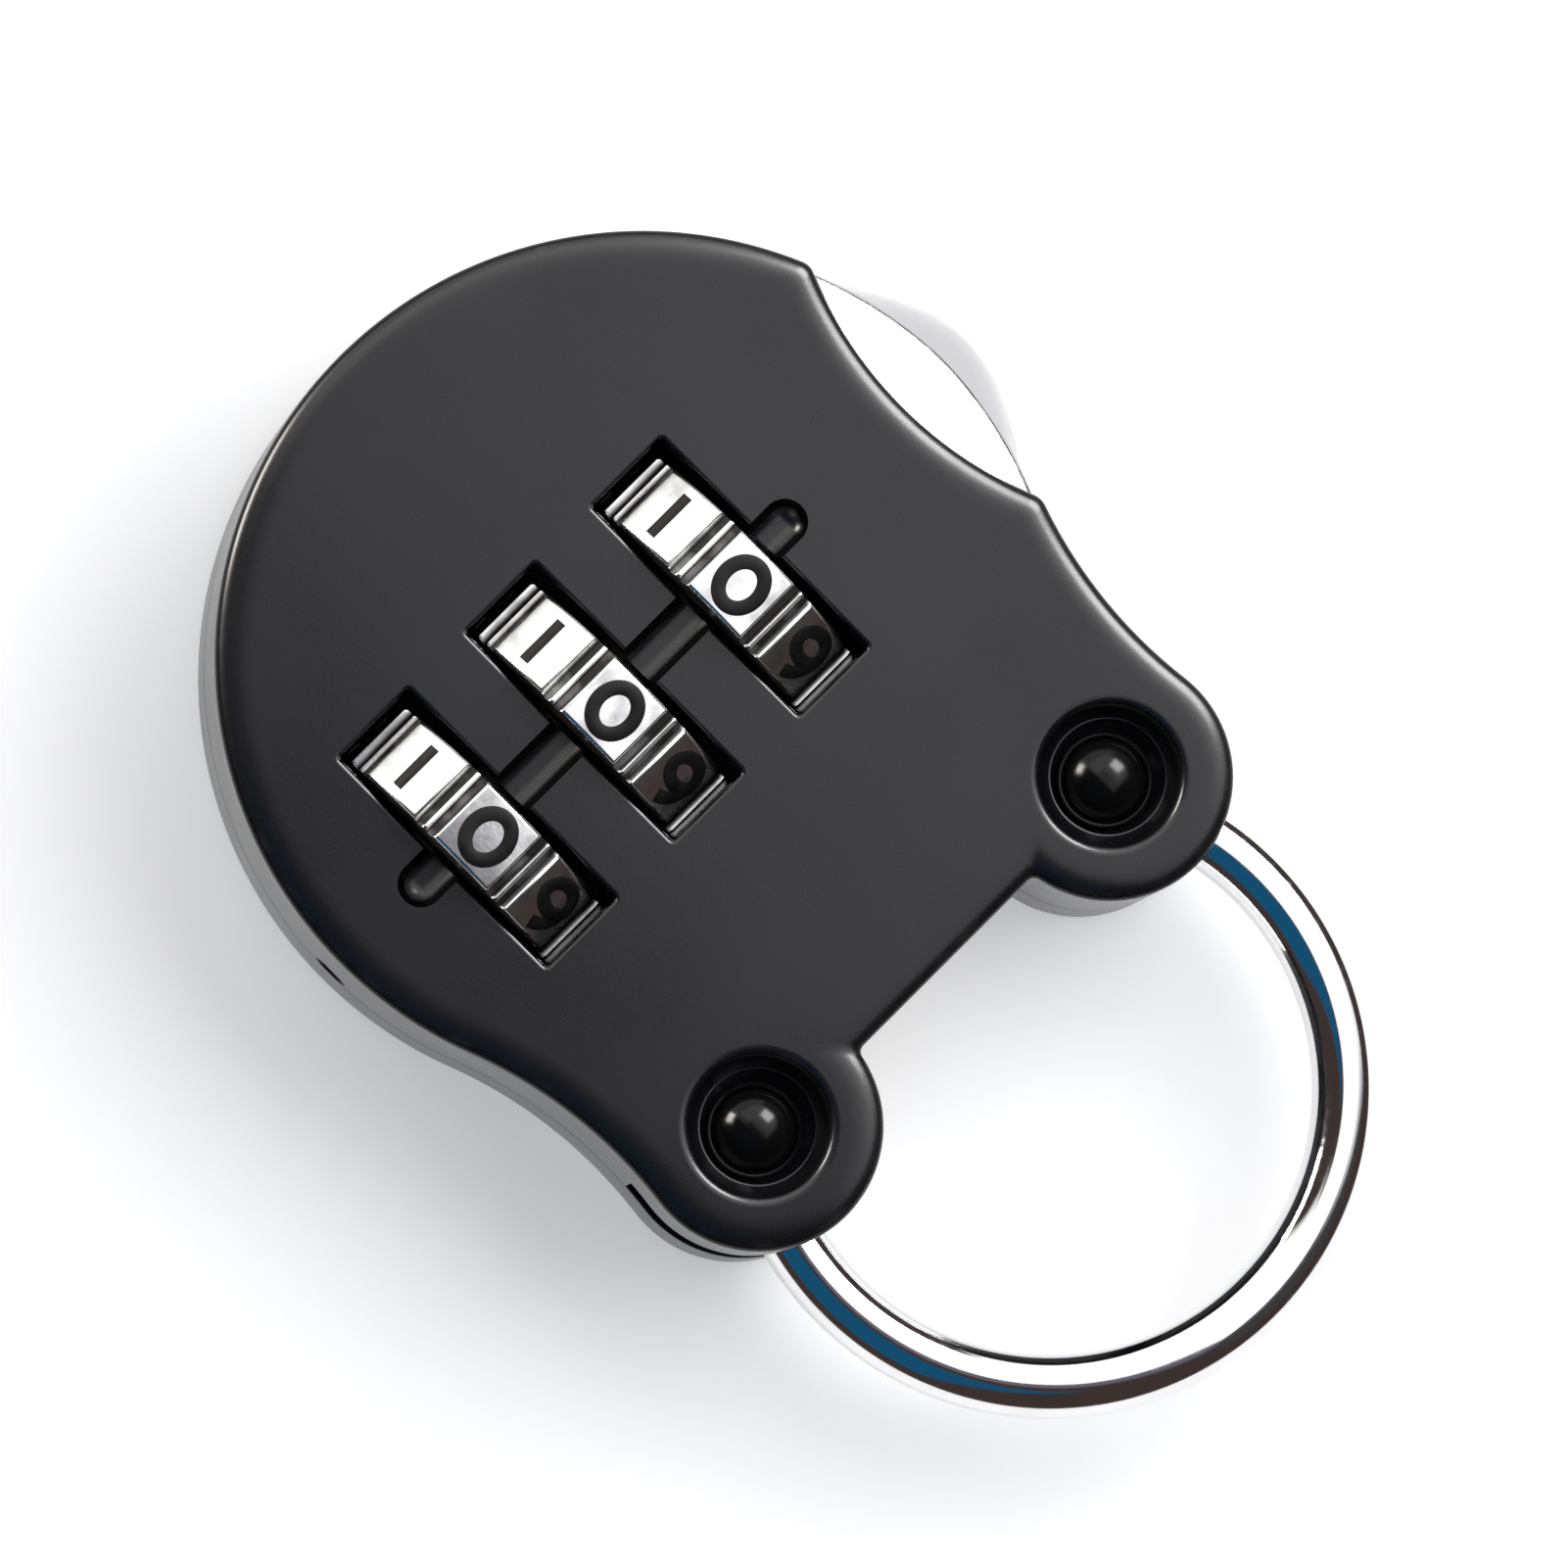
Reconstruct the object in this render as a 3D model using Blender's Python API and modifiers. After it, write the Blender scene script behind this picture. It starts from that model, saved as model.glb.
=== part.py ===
"""Luggage combination padlock: a round die-cast case with two lobes, a ring shackle,
three number wheels and a side button. All lengths below are millimetres; MM turns
them into metres where a mesh is made. The lock lies on its back: X runs from the
round end to the ring, Y from the reset hole to the button, Z out of the front face.
"""
import math

import bmesh
import bpy
from mathutils import Matrix, Vector

MM = 0.001

# Case
THICKNESS = 13.0
SPLIT_Z = 5.0
SPLIT_GAP = 0.05
BODY_R = 17.5
LOBE_R = 5.1
LOBE_X = 16.6
LOBE_Y = 10.1
FLANK_R = 19.8
STRAIGHT_X = 17.3
NOTCH_Y = 31.6
NOTCH_R = 16.8
WALL = 1.2
FRONT_PLATE = 1.1
REAR_PLATE = 1.0
CAVITY_END_X = 12.6

# Number wheels
AXIS_Z = 7.9
WHEEL_Y = (4.7, -2.55, -9.8)
WHEEL_R = 6.77
WHEEL_WIDTH = 3.2
WHEEL_TURN = math.radians(4.7)
DIGITS = 10
WINDOW_Y = (4.8, -2.45, -9.7)
WINDOW_HALF_X = 5.95
WINDOW_HALF_Y = 1.97
GROOVE_HALF = 0.95
GROOVE_DEPTH = 0.65
GROOVE_Y = (-13.9, 8.9)

# Ring shackle
RING_X = 24.05
RING_R = 12.2
WIRE_R = 1.35
RING_Z = 6.55
RING_END = math.radians(119.2)
RING_START = math.radians(-121.5)
EYE_R = 2.2
EYE_Z = (5.5, 7.5)
SLOT_Z = (SPLIT_Z - 0.2, 8.1)
SWING = math.radians(70.0)

# Rivets
PIN_R = 0.9
HOLE_R = 0.98
RECESS_R = 3.0
RECESS_FLOOR_R = 2.3
RECESS_Z = 12.0

# Button, spindle and latch
BUTTON_HALF_X = 6.3
BUTTON_Z = (1.4, 11.6)
BUTTON_EDGE_R = 17.55
BUTTON_BULGE = 2.0
FLANGE_Y = (12.2, 13.1)
SPINDLE_R = 1.2
SPINDLE_Y = (-14.95, 13.4)
BUTTON_TRAVEL = 1.2

# Clutch sleeves, bearings and reset
SLEEVE_R = 2.9
SLEEVE_HALF = 3.55
RESET_Z = 5.9
RESET_PIN_R = 0.55
BUTTON_BEARING_Y = (8.3, 8.9)
RESET_BEARING_Y = (-15.0, -14.4)

# Screws at the round end
SCREW_X = -11.2
SCREW_Y = 8.2

COLLECTION = "luggage_combination_padlock"


# Scene, materials and small helpers

for old in list(bpy.data.objects):
    bpy.data.objects.remove(old, do_unlink=True)

parts = bpy.data.collections.new(COLLECTION)
cutters = bpy.data.collections.new("cutters")
bpy.context.scene.collection.children.link(parts)
bpy.context.scene.collection.children.link(cutters)


def make_material(name, colour, roughness, metallic):
    made = bpy.data.materials.new(name)
    made.use_nodes = True
    shader = made.node_tree.nodes["Principled BSDF"]
    shader.inputs["Base Color"].default_value = (*colour, 1.0)
    shader.inputs["Roughness"].default_value = roughness
    shader.inputs["Metallic"].default_value = metallic
    made.diffuse_color = (*colour, 1.0)
    return made


BLACK = make_material("black_enamel", (0.022, 0.022, 0.025), 0.38, 0.0)
BLACK_RIVET = make_material("black_rivet", (0.012, 0.012, 0.013), 0.2, 0.0)
CHROME = make_material("chrome", (0.82, 0.82, 0.83), 0.12, 1.0)
BRIGHT = make_material("bright_button", (0.86, 0.86, 0.87), 0.25, 1.0)
STEEL = make_material("steel", (0.55, 0.55, 0.56), 0.35, 1.0)
SPRING_STEEL = make_material("spring_steel", (0.45, 0.45, 0.47), 0.3, 1.0)
BRASS = make_material("brass", (0.62, 0.47, 0.2), 0.35, 1.0)


def place(obj, collection):
    """Move an object into one collection only."""
    for holder in list(obj.users_collection):
        holder.objects.unlink(obj)
    collection.objects.link(obj)
    return obj


def as_part(obj, name, material, origin=None):
    """Name a finished piece, give it a material and put its origin on its axis."""
    obj.name = name
    obj.data.name = name
    obj.data.materials.clear()
    obj.data.materials.append(material)
    if origin:
        shift = Vector(origin) * MM
        obj.data.transform(Matrix.Translation(-shift))
        obj.location = shift
    return place(obj, parts)


def as_cutter(obj, name):
    """Keep a shape only as a tool for Boolean modifiers."""
    obj.name = name
    obj.hide_render = True
    obj.display_type = "WIRE"
    return place(obj, cutters)


def combine(target, tool, operation="DIFFERENCE"):
    """Cut a tool out of a target, or join it on."""
    as_cutter(tool, tool.name)
    modifier = target.modifiers.new(tool.name, "BOOLEAN")
    modifier.operation = operation
    modifier.solver = "EXACT"
    modifier.object = tool
    return target


def from_bmesh(name, built):
    bmesh.ops.remove_doubles(built, verts=built.verts, dist=1e-8)
    bmesh.ops.recalc_face_normals(built, faces=built.faces)
    data = bpy.data.meshes.new(name)
    built.to_mesh(data)
    built.free()
    obj = bpy.data.objects.new(name, data)
    return place(obj, parts)


def box(name, x, y, z):
    """A box between the given pairs of bounds."""
    built = bmesh.new()
    size = ((x[1] - x[0]) * MM, (y[1] - y[0]) * MM, (z[1] - z[0]) * MM)
    middle = (sum(x) / 2 * MM, sum(y) / 2 * MM, sum(z) / 2 * MM)
    matrix = Matrix.Translation(middle) @ Matrix.Diagonal((*size, 1.0))
    bmesh.ops.create_cube(built, size=1.0, matrix=matrix)
    return from_bmesh(name, built)


def cone(name, centre, axis, low, high, r_low, r_high, sides=32):
    """A round bar or cone along Y or Z, between low and high on that axis."""
    built = bmesh.new()
    middle = (low + high) / 2
    if axis == "Z":
        turn = Matrix.Identity(4)
        at = (centre[0], centre[1], middle)
    else:
        turn = Matrix.Rotation(math.radians(-90.0), 4, "X")
        at = (centre[0], middle, centre[1])
    matrix = Matrix.Translation(Vector(at) * MM) @ turn
    bmesh.ops.create_cone(
        built,
        cap_ends=True,
        segments=sides,
        radius1=r_low * MM,
        radius2=r_high * MM,
        depth=(high - low) * MM,
        matrix=matrix,
    )
    return from_bmesh(name, built)


def rod(name, centre, axis, low, high, radius, sides=32):
    return cone(name, centre, axis, low, high, radius, radius, sides)


def turned(name, profile, x, y, steps=32):
    """A piece turned about a vertical axis; its profile runs from top to bottom."""
    data = bpy.data.meshes.new(name)
    points = [(r * MM, 0.0, z * MM) for r, z in profile]
    data.from_pydata(points, [(i, i + 1) for i in range(len(points) - 1)], [])
    obj = bpy.data.objects.new(name, data)
    place(obj, parts)
    screw = obj.modifiers.new("Screw", "SCREW")
    screw.steps = steps
    screw.render_steps = steps
    screw.use_merge_vertices = True
    screw.merge_threshold = 1e-6
    obj.location = (x * MM, y * MM, 0.0)
    return obj


def curve_mesh(name, curve):
    """Turn a curve into a closed mesh object."""
    holder = bpy.data.objects.new(name, curve)
    place(holder, parts)
    bpy.context.view_layer.update()
    graph = bpy.context.evaluated_depsgraph_get()
    data = bpy.data.meshes.new_from_object(holder.evaluated_get(graph))
    matrix = holder.matrix_world.copy()
    bpy.data.objects.remove(holder, do_unlink=True)
    built = bmesh.new()
    built.from_mesh(data)
    bmesh.ops.remove_doubles(built, verts=built.verts, dist=1e-7)
    bmesh.ops.recalc_face_normals(built, faces=built.faces)
    built.to_mesh(data)
    built.free()
    data.name = name
    obj = bpy.data.objects.new(name, data)
    obj.matrix_world = matrix
    return place(obj, parts)


def prism(name, outline, low, high, axis="Z"):
    """A flat outline made thick along Z, or along Y with the outline in X and Z."""
    curve = bpy.data.curves.new(name, "CURVE")
    curve.dimensions = "2D"
    curve.fill_mode = "BOTH"
    curve.extrude = (high - low) / 2 * MM
    spline = curve.splines.new("POLY")
    spline.points.add(len(outline) - 1)
    for point, (x, y) in zip(spline.points, outline):
        point.co = (x * MM, y * MM, 0.0, 1.0)
    spline.use_cyclic_u = True
    obj = curve_mesh(name, curve)
    middle = (high + low) / 2 * MM
    if axis == "Z":
        obj.data.transform(Matrix.Translation((0.0, 0.0, middle)))
    else:
        stand = Matrix.Rotation(math.radians(90.0), 4, "X")
        obj.data.transform(Matrix.Translation((0.0, middle, 0.0)) @ stand)
    return obj


def wire(name, points, radius, resolution=2):
    """A round wire along the given points."""
    curve = bpy.data.curves.new(name, "CURVE")
    curve.dimensions = "3D"
    curve.bevel_depth = radius * MM
    curve.bevel_resolution = resolution
    curve.use_fill_caps = True
    spline = curve.splines.new("POLY")
    spline.points.add(len(points) - 1)
    for point, at in zip(spline.points, points):
        point.co = (*(Vector(at) * MM), 1.0)
    return curve_mesh(name, curve)


def coil(name, low, high, radius, wire_radius, turns):
    """A helical spring around the wheel axis, along Y."""
    steps = int(turns * 14)
    points = []
    for i in range(steps + 1):
        angle = math.tau * turns * i / steps
        y = low + (high - low) * i / steps
        points.append((radius * math.cos(angle), y, AXIS_Z + radius * math.sin(angle)))
    return wire(name, points, wire_radius)


def stack(name, sections):
    """Walls between outlines of equal length at rising heights, closed at both ends."""
    built = bmesh.new()
    rings = []
    for outline, z in sections:
        rings.append([built.verts.new((x * MM, y * MM, z * MM)) for x, y in outline])
    for lower, upper in zip(rings, rings[1:]):
        for i in range(len(lower)):
            j = (i + 1) % len(lower)
            built.faces.new((lower[i], lower[j], upper[j], upper[i]))
    built.faces.new(list(reversed(rings[0])))
    built.faces.new(rings[-1])
    return from_bmesh(name, built)


# The case outline

def arc(centre, radius, start, end, count):
    """Points along an arc, both ends included."""
    made = []
    for i in range(count + 1):
        angle = start + (end - start) * i / count
        made.append((centre[0] + radius * math.cos(angle), centre[1] + radius * math.sin(angle)))
    return made


def circles_meet(first, r_first, second, r_second, side):
    """Where two circles meet, on the left (+1) or right (-1) of the line between them."""
    a = Vector(first)
    line = Vector(second) - a
    gap = line.length
    along = (r_first**2 - r_second**2 + gap**2) / (2 * gap)
    across = math.sqrt(r_first**2 - along**2)
    unit = line / gap
    point = a + unit * along + Vector((-unit.y, unit.x)) * across * side
    return point.x, point.y


def angle_of(centre, point):
    return math.atan2(point[1] - centre[1], point[0] - centre[0])


FLANK = circles_meet((0.0, 0.0), BODY_R + FLANK_R, (LOBE_X, LOBE_Y), LOBE_R + FLANK_R, 1)


def rounded(runs):
    """Join runs of points, easing each listed corner with a short curve."""
    made = []
    for i, (points, corner) in enumerate(runs):
        after = runs[(i + 1) % len(runs)][0]
        made += points
        if corner:
            start = Vector(points[-1])
            end = Vector(after[0])
            peak = Vector(corner)
            for t in (0.25, 0.5, 0.75):
                eased = start * (1 - t) ** 2 + peak * 2 * t * (1 - t) + end * t**2
                made.append((eased.x, eased.y))
        else:
            made.pop()
    return made


def case_outline(inset=0.0, detail=0.8):
    """The lock's outline, counterclockwise from the ring side of the button lobe."""
    body = BODY_R - inset
    lobe = LOBE_R - inset
    flank = FLANK_R + inset
    notch = NOTCH_R + inset
    reach = 0.35
    drop = math.sqrt(lobe**2 - (STRAIGHT_X - inset - LOBE_X) ** 2)
    upper = (STRAIGHT_X - inset, LOBE_Y - drop)
    lower = (STRAIGHT_X - inset, -LOBE_Y + drop)
    lobe_up = (LOBE_X, LOBE_Y)
    lobe_down = (LOBE_X, -LOBE_Y)
    flank_down = (FLANK[0], -FLANK[1])
    notch_at = (0.0, NOTCH_Y)
    right = circles_meet(FLANK, flank, notch_at, notch, 1)
    left = circles_meet((0.0, 0.0), body, notch_at, notch, 1)
    join_lobe = angle_of(lobe_up, FLANK)
    join_body = angle_of((0.0, 0.0), FLANK)

    def steps(number):
        return max(4, int(number * detail))

    runs = [
        (
            arc(lobe_up, lobe, angle_of(lobe_up, upper) + reach / lobe, join_lobe, steps(22)),
            None,
        ),
        (
            arc(FLANK, flank, join_lobe - math.pi, angle_of(FLANK, right) + reach / flank, steps(9)),
            right,
        ),
        (
            arc(
                notch_at,
                notch,
                angle_of(notch_at, right) - reach / notch,
                angle_of(notch_at, left) + reach / notch,
                steps(12),
            ),
            left,
        ),
        (
            arc(
                (0.0, 0.0),
                body,
                angle_of((0.0, 0.0), left) + reach / body,
                math.tau - join_body,
                steps(44),
            ),
            None,
        ),
        (
            arc(flank_down, flank, math.pi - join_body, math.pi - join_lobe, steps(10)),
            None,
        ),
        (
            arc(lobe_down, lobe, -join_lobe, angle_of(lobe_down, lower) - reach / lobe, steps(22)),
            lower,
        ),
        (
            [(lower[0], lower[1] + reach), (upper[0], upper[1] - reach)],
            upper,
        ),
    ]
    return rounded(runs)


def cavity_outline():
    """The inside of the case walls, stopped short of the two lobes."""
    inside = case_outline(WALL, 0.5)
    kept = [p for p in inside if p[0] < CAVITY_END_X]
    top = [p for p in kept if p[1] > 0][0]
    bottom = [p for p in kept if p[1] < 0][-1]
    start = kept.index(top)
    ordered = kept[start:] + kept[:start]
    return ordered + [(CAVITY_END_X, bottom[1]), (CAVITY_END_X, top[1])]


CORNERS = (("hinge", -LOBE_Y), ("latch", LOBE_Y))


# Cutting shapes shared by the two case halves

def hinge_slot():
    """Room for the ring to leave the hinge lobe and swing open."""
    gap = math.dist((RING_X, 0.0), (LOBE_X, -LOBE_Y))
    toward = math.atan2(LOBE_Y, RING_X - LOBE_X)
    upper = []
    lower = []
    for i in range(9):
        reach = 2.4 + 6.6 * i / 8
        along = toward - math.acos((reach**2 + gap**2 - RING_R**2) / (2 * reach * gap))
        half = math.asin((WIRE_R + 0.25) / reach)
        for side, made in ((along + half, upper), (along - half - SWING - 0.05, lower)):
            made.append((LOBE_X + reach * math.cos(side), -LOBE_Y + reach * math.sin(side)))
    return upper + lower[::-1]


def latch_slot():
    """Room for the ring's free end to leave the latch lobe."""
    centre = (RING_X, 0.0)
    hinge = (LOBE_X, -LOBE_Y)
    past_end = RING_END + math.radians(1.3)
    outer = arc(centre, RING_R + WIRE_R + 0.25, math.radians(85.0), past_end, 8)
    corner = arc(centre, RING_R - WIRE_R - 0.2, past_end, past_end, 1)[0]
    radius = math.dist(hinge, corner)
    inner = arc(hinge, radius, angle_of(hinge, corner), math.radians(68.0), 6)
    return outer + inner


def latch_channel():
    """Room for the latch arm beside the latch rivet."""
    return [
        (CAVITY_END_X - 0.2, 9.6),
        (14.3, 8.72),
        (18.8, 8.72),
        (18.8, 9.6),
        (20.1, 9.6),
        (20.1, 7.1),
        (19.5, 6.5),
        (CAVITY_END_X - 0.2, 6.5),
    ]


def window(y):
    """A wheel window with its rim eased outward."""
    sections = []
    for grow, z in ((0.0, 10.5), (0.0, 12.8), (0.2, 13.0), (0.5, 13.3)):
        x = WINDOW_HALF_X + grow
        h = WINDOW_HALF_Y + grow
        sections.append(([(-x, y - h), (x, y - h), (x, y + h), (-x, y + h)], z))
    return stack("window", sections)


def index_groove():
    """The round-bottomed index line that runs through the windows."""
    radius = (GROOVE_HALF**2 + GROOVE_DEPTH**2) / (2 * GROOVE_DEPTH)
    z = THICKNESS + radius - GROOVE_DEPTH
    low = GROOVE_Y[0] + GROOVE_HALF
    high = GROOVE_Y[1] - GROOVE_HALF
    built = bmesh.new()
    bmesh.ops.create_uvsphere(
        built,
        u_segments=24,
        v_segments=13,
        radius=radius * MM,
        matrix=Matrix.Rotation(math.pi / 2, 4, "X"),
    )
    for corner in built.verts:
        corner.co.y += (high if corner.co.y > 0 else low) * MM
        corner.co.z += z * MM
    return from_bmesh("groove", built)


def cut_case_details(case):
    """Holes and reliefs that the two halves of the case share."""
    for y in WHEEL_Y:
        half = WHEEL_WIDTH / 2 + 0.3
        relief = rod("wheel_relief", (0.0, AXIS_Z), "Y", y - half, y + half, 7.02, 48)
        combine(case, relief)
    for name, y in CORNERS:
        combine(case, rod(name + "_hole", (LOBE_X, y), "Z", -1.0, 14.0, HOLE_R, 24))
    opening = box(
        "button_opening", (-6.42, 6.42), (12.9, 18.0), (BUTTON_Z[0] - 0.15, BUTTON_Z[1] + 0.15)
    )
    combine(case, opening)


def make_front_shell():
    low = SPLIT_Z + SPLIT_GAP
    levels = (
        (0.0, low),
        (0.0, 12.3),
        (0.06, 12.55),
        (0.2, 12.76),
        (0.45, 12.9),
        (1.5, THICKNESS),
    )
    shell = stack("front_shell", [(case_outline(inset), z) for inset, z in levels])
    roof = THICKNESS - FRONT_PLATE
    combine(shell, prism("shell_cavity", cavity_outline(), low - 1.0, roof))
    for side in (-1, 1):
        y = SCREW_Y * side
        combine(shell, rod("boss", (SCREW_X, y), "Z", low, roof + 0.3, 1.8, 24), "UNION")
        combine(shell, rod("thread", (SCREW_X, y), "Z", low - 1.0, 9.8, 0.8, 20))
    cut_case_details(shell)
    for y in WINDOW_Y:
        combine(shell, window(y))
    combine(shell, index_groove())
    for name, y in CORNERS:
        slope = (RECESS_R - RECESS_FLOOR_R) / (THICKNESS - RECESS_Z)
        recess = cone(
            name + "_recess",
            (LOBE_X, y),
            "Z",
            RECESS_Z,
            THICKNESS + 0.5,
            RECESS_FLOOR_R,
            RECESS_R + 0.5 * slope,
            36,
        )
        combine(shell, recess)
    combine(shell, rod("eye_room", (LOBE_X, -LOBE_Y), "Z", *SLOT_Z, EYE_R + 0.3, 32))
    combine(shell, prism("hinge_slot", hinge_slot(), *SLOT_Z))
    combine(shell, prism("latch_slot", latch_slot(), *SLOT_Z))
    combine(shell, prism("latch_channel", latch_channel(), *SLOT_Z))
    combine(shell, rod("reset_hole", (0.0, RESET_Z), "Y", -18.0, -16.0, 0.65, 20))
    combine(shell, cone("reset_rim", (0.0, RESET_Z), "Y", -17.7, -17.1, 0.94, 0.5, 20))
    return as_part(shell, "front_shell", BLACK)


def make_rear_cover():
    levels = ((0.62, 0.0), (0.18, 0.18), (0.0, 0.62), (0.0, SPLIT_Z))
    cover = stack("rear_cover", [(case_outline(inset), z) for inset, z in levels])
    combine(cover, prism("cover_cavity", cavity_outline(), REAR_PLATE, SPLIT_Z + 1.0))
    for side in (-1, 1):
        y = SCREW_Y * side
        combine(cover, rod("post", (SCREW_X, y), "Z", 0.4, SPLIT_Z - 0.05, 2.2, 24), "UNION")
        combine(cover, rod("screw_hole", (SCREW_X, y), "Z", -1.0, SPLIT_Z + 1.0, 0.85, 20))
        combine(cover, rod("head_room", (SCREW_X, y), "Z", -1.0, 1.35, 1.75, 24))
    cut_case_details(cover)
    for name, y in CORNERS:
        combine(cover, rod(name + "_tail_room", (LOBE_X, y), "Z", -1.0, 0.55, 1.95, 28))
    return as_part(cover, "rear_cover", BLACK)


def make_rivet(name, y):
    """A domed head on a thin flange, a plain shank and a flat set tail."""
    radius = 2.0
    top = 13.2
    edge = math.asin(1.67 / radius)
    profile = []
    for i in range(7):
        angle = edge * i / 6
        profile.append((radius * math.sin(angle), top - radius + radius * math.cos(angle)))
    profile += [
        (2.06, profile[-1][1] - 0.02),
        (2.06, 12.08),
        (PIN_R, 12.08),
        (PIN_R, 0.48),
        (1.75, 0.48),
        (1.75, 0.14),
        (1.6, 0.06),
        (0.0, 0.06),
    ]
    return as_part(turned(name, profile, LOBE_X, y, 28), name, BLACK_RIVET)


def make_screw(name, y):
    """A pan-head cross-recess screw, driven from the back."""
    profile = [
        (0.0, 9.3),
        (0.45, 9.3),
        (0.74, 8.9),
        (0.74, 1.27),
        (1.6, 1.27),
        (1.6, 0.4),
        (1.35, 0.16),
        (0.0, 0.16),
    ]
    screw = turned(name, profile, SCREW_X, y, 24)
    across = box("cross_x", (SCREW_X - 0.95, SCREW_X + 0.95), (y - 0.17, y + 0.17), (-0.5, 0.7))
    along = box("cross_y", (SCREW_X - 0.17, SCREW_X + 0.17), (y - 0.95, y + 0.95), (-0.5, 0.7))
    combine(screw, across)
    combine(screw, along)
    return as_part(screw, name, STEEL)


def make_washer(name, low, high):
    washer = rod(name, (LOBE_X, -LOBE_Y), "Z", low, high, 2.0, 28)
    combine(washer, rod(name + "_bore", (LOBE_X, -LOBE_Y), "Z", low - 1, high + 1, 1.0, 24))
    return as_part(washer, name, BRASS)


def make_bearing_plate(name, y, half_x, with_reset_hole):
    plate = box(name, (-half_x, half_x), y, (REAR_PLATE + 0.06, THICKNESS - FRONT_PLATE - 0.06))
    combine(plate, rod(name + "_bore", (0.0, AXIS_Z), "Y", y[0] - 1, y[1] + 1, 1.32, 24))
    if with_reset_hole:
        combine(plate, rod("pin_guide", (0.0, RESET_Z), "Y", y[0] - 1, y[1] + 1, 0.63, 20))
    return as_part(plate, name, STEEL)


def ribbon(path, thickness):
    """A bent strip's edge outline, from its middle line in X and Z."""
    left = []
    right = []
    for i, point in enumerate(path):
        before = Vector(path[max(i - 1, 0)])
        after = Vector(path[min(i + 1, len(path) - 1)])
        along = (after - before).normalized()
        across = Vector((-along.y, along.x)) * thickness / 2
        left.append(tuple(Vector(point) + across))
        right.append(tuple(Vector(point) - across))
    return left + right[::-1]


def make_detent_spring():
    """A strip on the floor with one bent finger beside each number wheel."""
    spring = box("detent_spring", (-8.85, -7.7), (-11.9, 6.8), (1.08, 1.33))
    path = [(-8.5, 1.2), (-8.25, 3.0), (-7.7, 4.4), (-6.86, 5.4), (-6.98, 6.1), (-7.5, 6.7)]
    for y in WHEEL_Y:
        finger = prism("detent_finger", ribbon(path, 0.24), y - 0.9, y + 0.9, "Y")
        combine(spring, finger, "UNION")
    return as_part(spring, "detent_spring", SPRING_STEEL)


def make_shackle_ring():
    """Round wire bent to a ring, with a flat pierced eye and a notched free end."""
    points = arc((RING_X, 0.0), RING_R, RING_START, RING_END, 40)
    ring = wire("shackle_ring", [(x, y, RING_Z) for x, y in points], WIRE_R, 3)
    hinge = (LOBE_X, -LOBE_Y)
    combine(ring, rod("eye", hinge, "Z", *EYE_Z, EYE_R, 32), "UNION")
    combine(ring, rod("eye_above", hinge, "Z", EYE_Z[1], 9.0, EYE_R + 0.15, 32))
    combine(ring, rod("eye_below", hinge, "Z", 4.0, EYE_Z[0], EYE_R + 0.15, 32))
    combine(ring, rod("eye_bore", hinge, "Z", 4.0, 9.0, HOLE_R, 24))
    low, high = math.radians(112.3), math.radians(117.1)
    inner = arc((RING_X, 0.0), RING_R - WIRE_R - 1.0, low, high, 1)
    outer = arc((RING_X, 0.0), RING_R - WIRE_R + 0.75, low, high, 1)
    combine(ring, prism("latch_notch", inner + outer[::-1], 4.0, 9.0))
    return as_part(ring, "shackle_ring", CHROME, (LOBE_X, -LOBE_Y, RING_Z))


def button_section(bulge):
    """The button's plan: flat inside, the case's own curve outside, plus a bulge."""
    outline = [(-BUTTON_HALF_X, 12.7), (BUTTON_HALF_X, 12.7)]
    for i in range(17):
        x = BUTTON_HALF_X * math.cos(math.pi * i / 16)
        rise = 1.0 - (abs(x) / BUTTON_HALF_X) ** 1.7
        outline.append((x, math.sqrt(BUTTON_EDGE_R**2 - x**2) - 0.25 + bulge * rise))
    return outline


def make_button():
    """A lens-shaped push button, swollen at mid height, on an inner flange and boss."""
    low, high = BUTTON_Z
    sections = []
    for i in range(11):
        t = -1.0 + 2.0 * i / 10
        z = (low + high) / 2 + (high - low) / 2 * math.sin(t * math.pi / 2)
        bulge = BUTTON_BULGE * (1.0 - math.sin(abs(t) * math.pi / 2) ** 2.2)
        sections.append((button_section(bulge), z))
    button = stack("release_button", sections)
    combine(button, box("flange", (-7.6, 7.6), FLANGE_Y, (low + 0.1, high - 0.1)), "UNION")
    combine(button, rod("boss", (0.0, AXIS_Z), "Y", 11.0, 12.6, 2.0, 28), "UNION")
    combine(button, rod("spindle_seat", (0.0, AXIS_Z), "Y", 10.0, 13.55, 1.24, 24))
    return as_part(button, "release_button", BRIGHT, (0.0, 0.0, AXIS_Z))


def make_spindle():
    """A plain rod with one lug for each wheel and a groove for the clip."""
    spindle = rod("spindle", (0.0, AXIS_Z), "Y", *SPINDLE_Y, SPINDLE_R, 24)
    for y in WHEEL_Y:
        lug = box("lug", (-0.45, 0.45), (y + 0.8, y + 1.8), (AXIS_Z + 0.8, AXIS_Z + 2.0))
        combine(spindle, lug, "UNION")
    collar = rod("clip_groove", (0.0, AXIS_Z), "Y", 10.48, 10.98, 2.0, 24)
    combine(collar, rod("clip_core", (0.0, AXIS_Z), "Y", 10.0, 11.5, 0.98, 24))
    combine(spindle, collar)
    return as_part(spindle, "spindle", STEEL, (0.0, 0.0, AXIS_Z))


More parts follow.
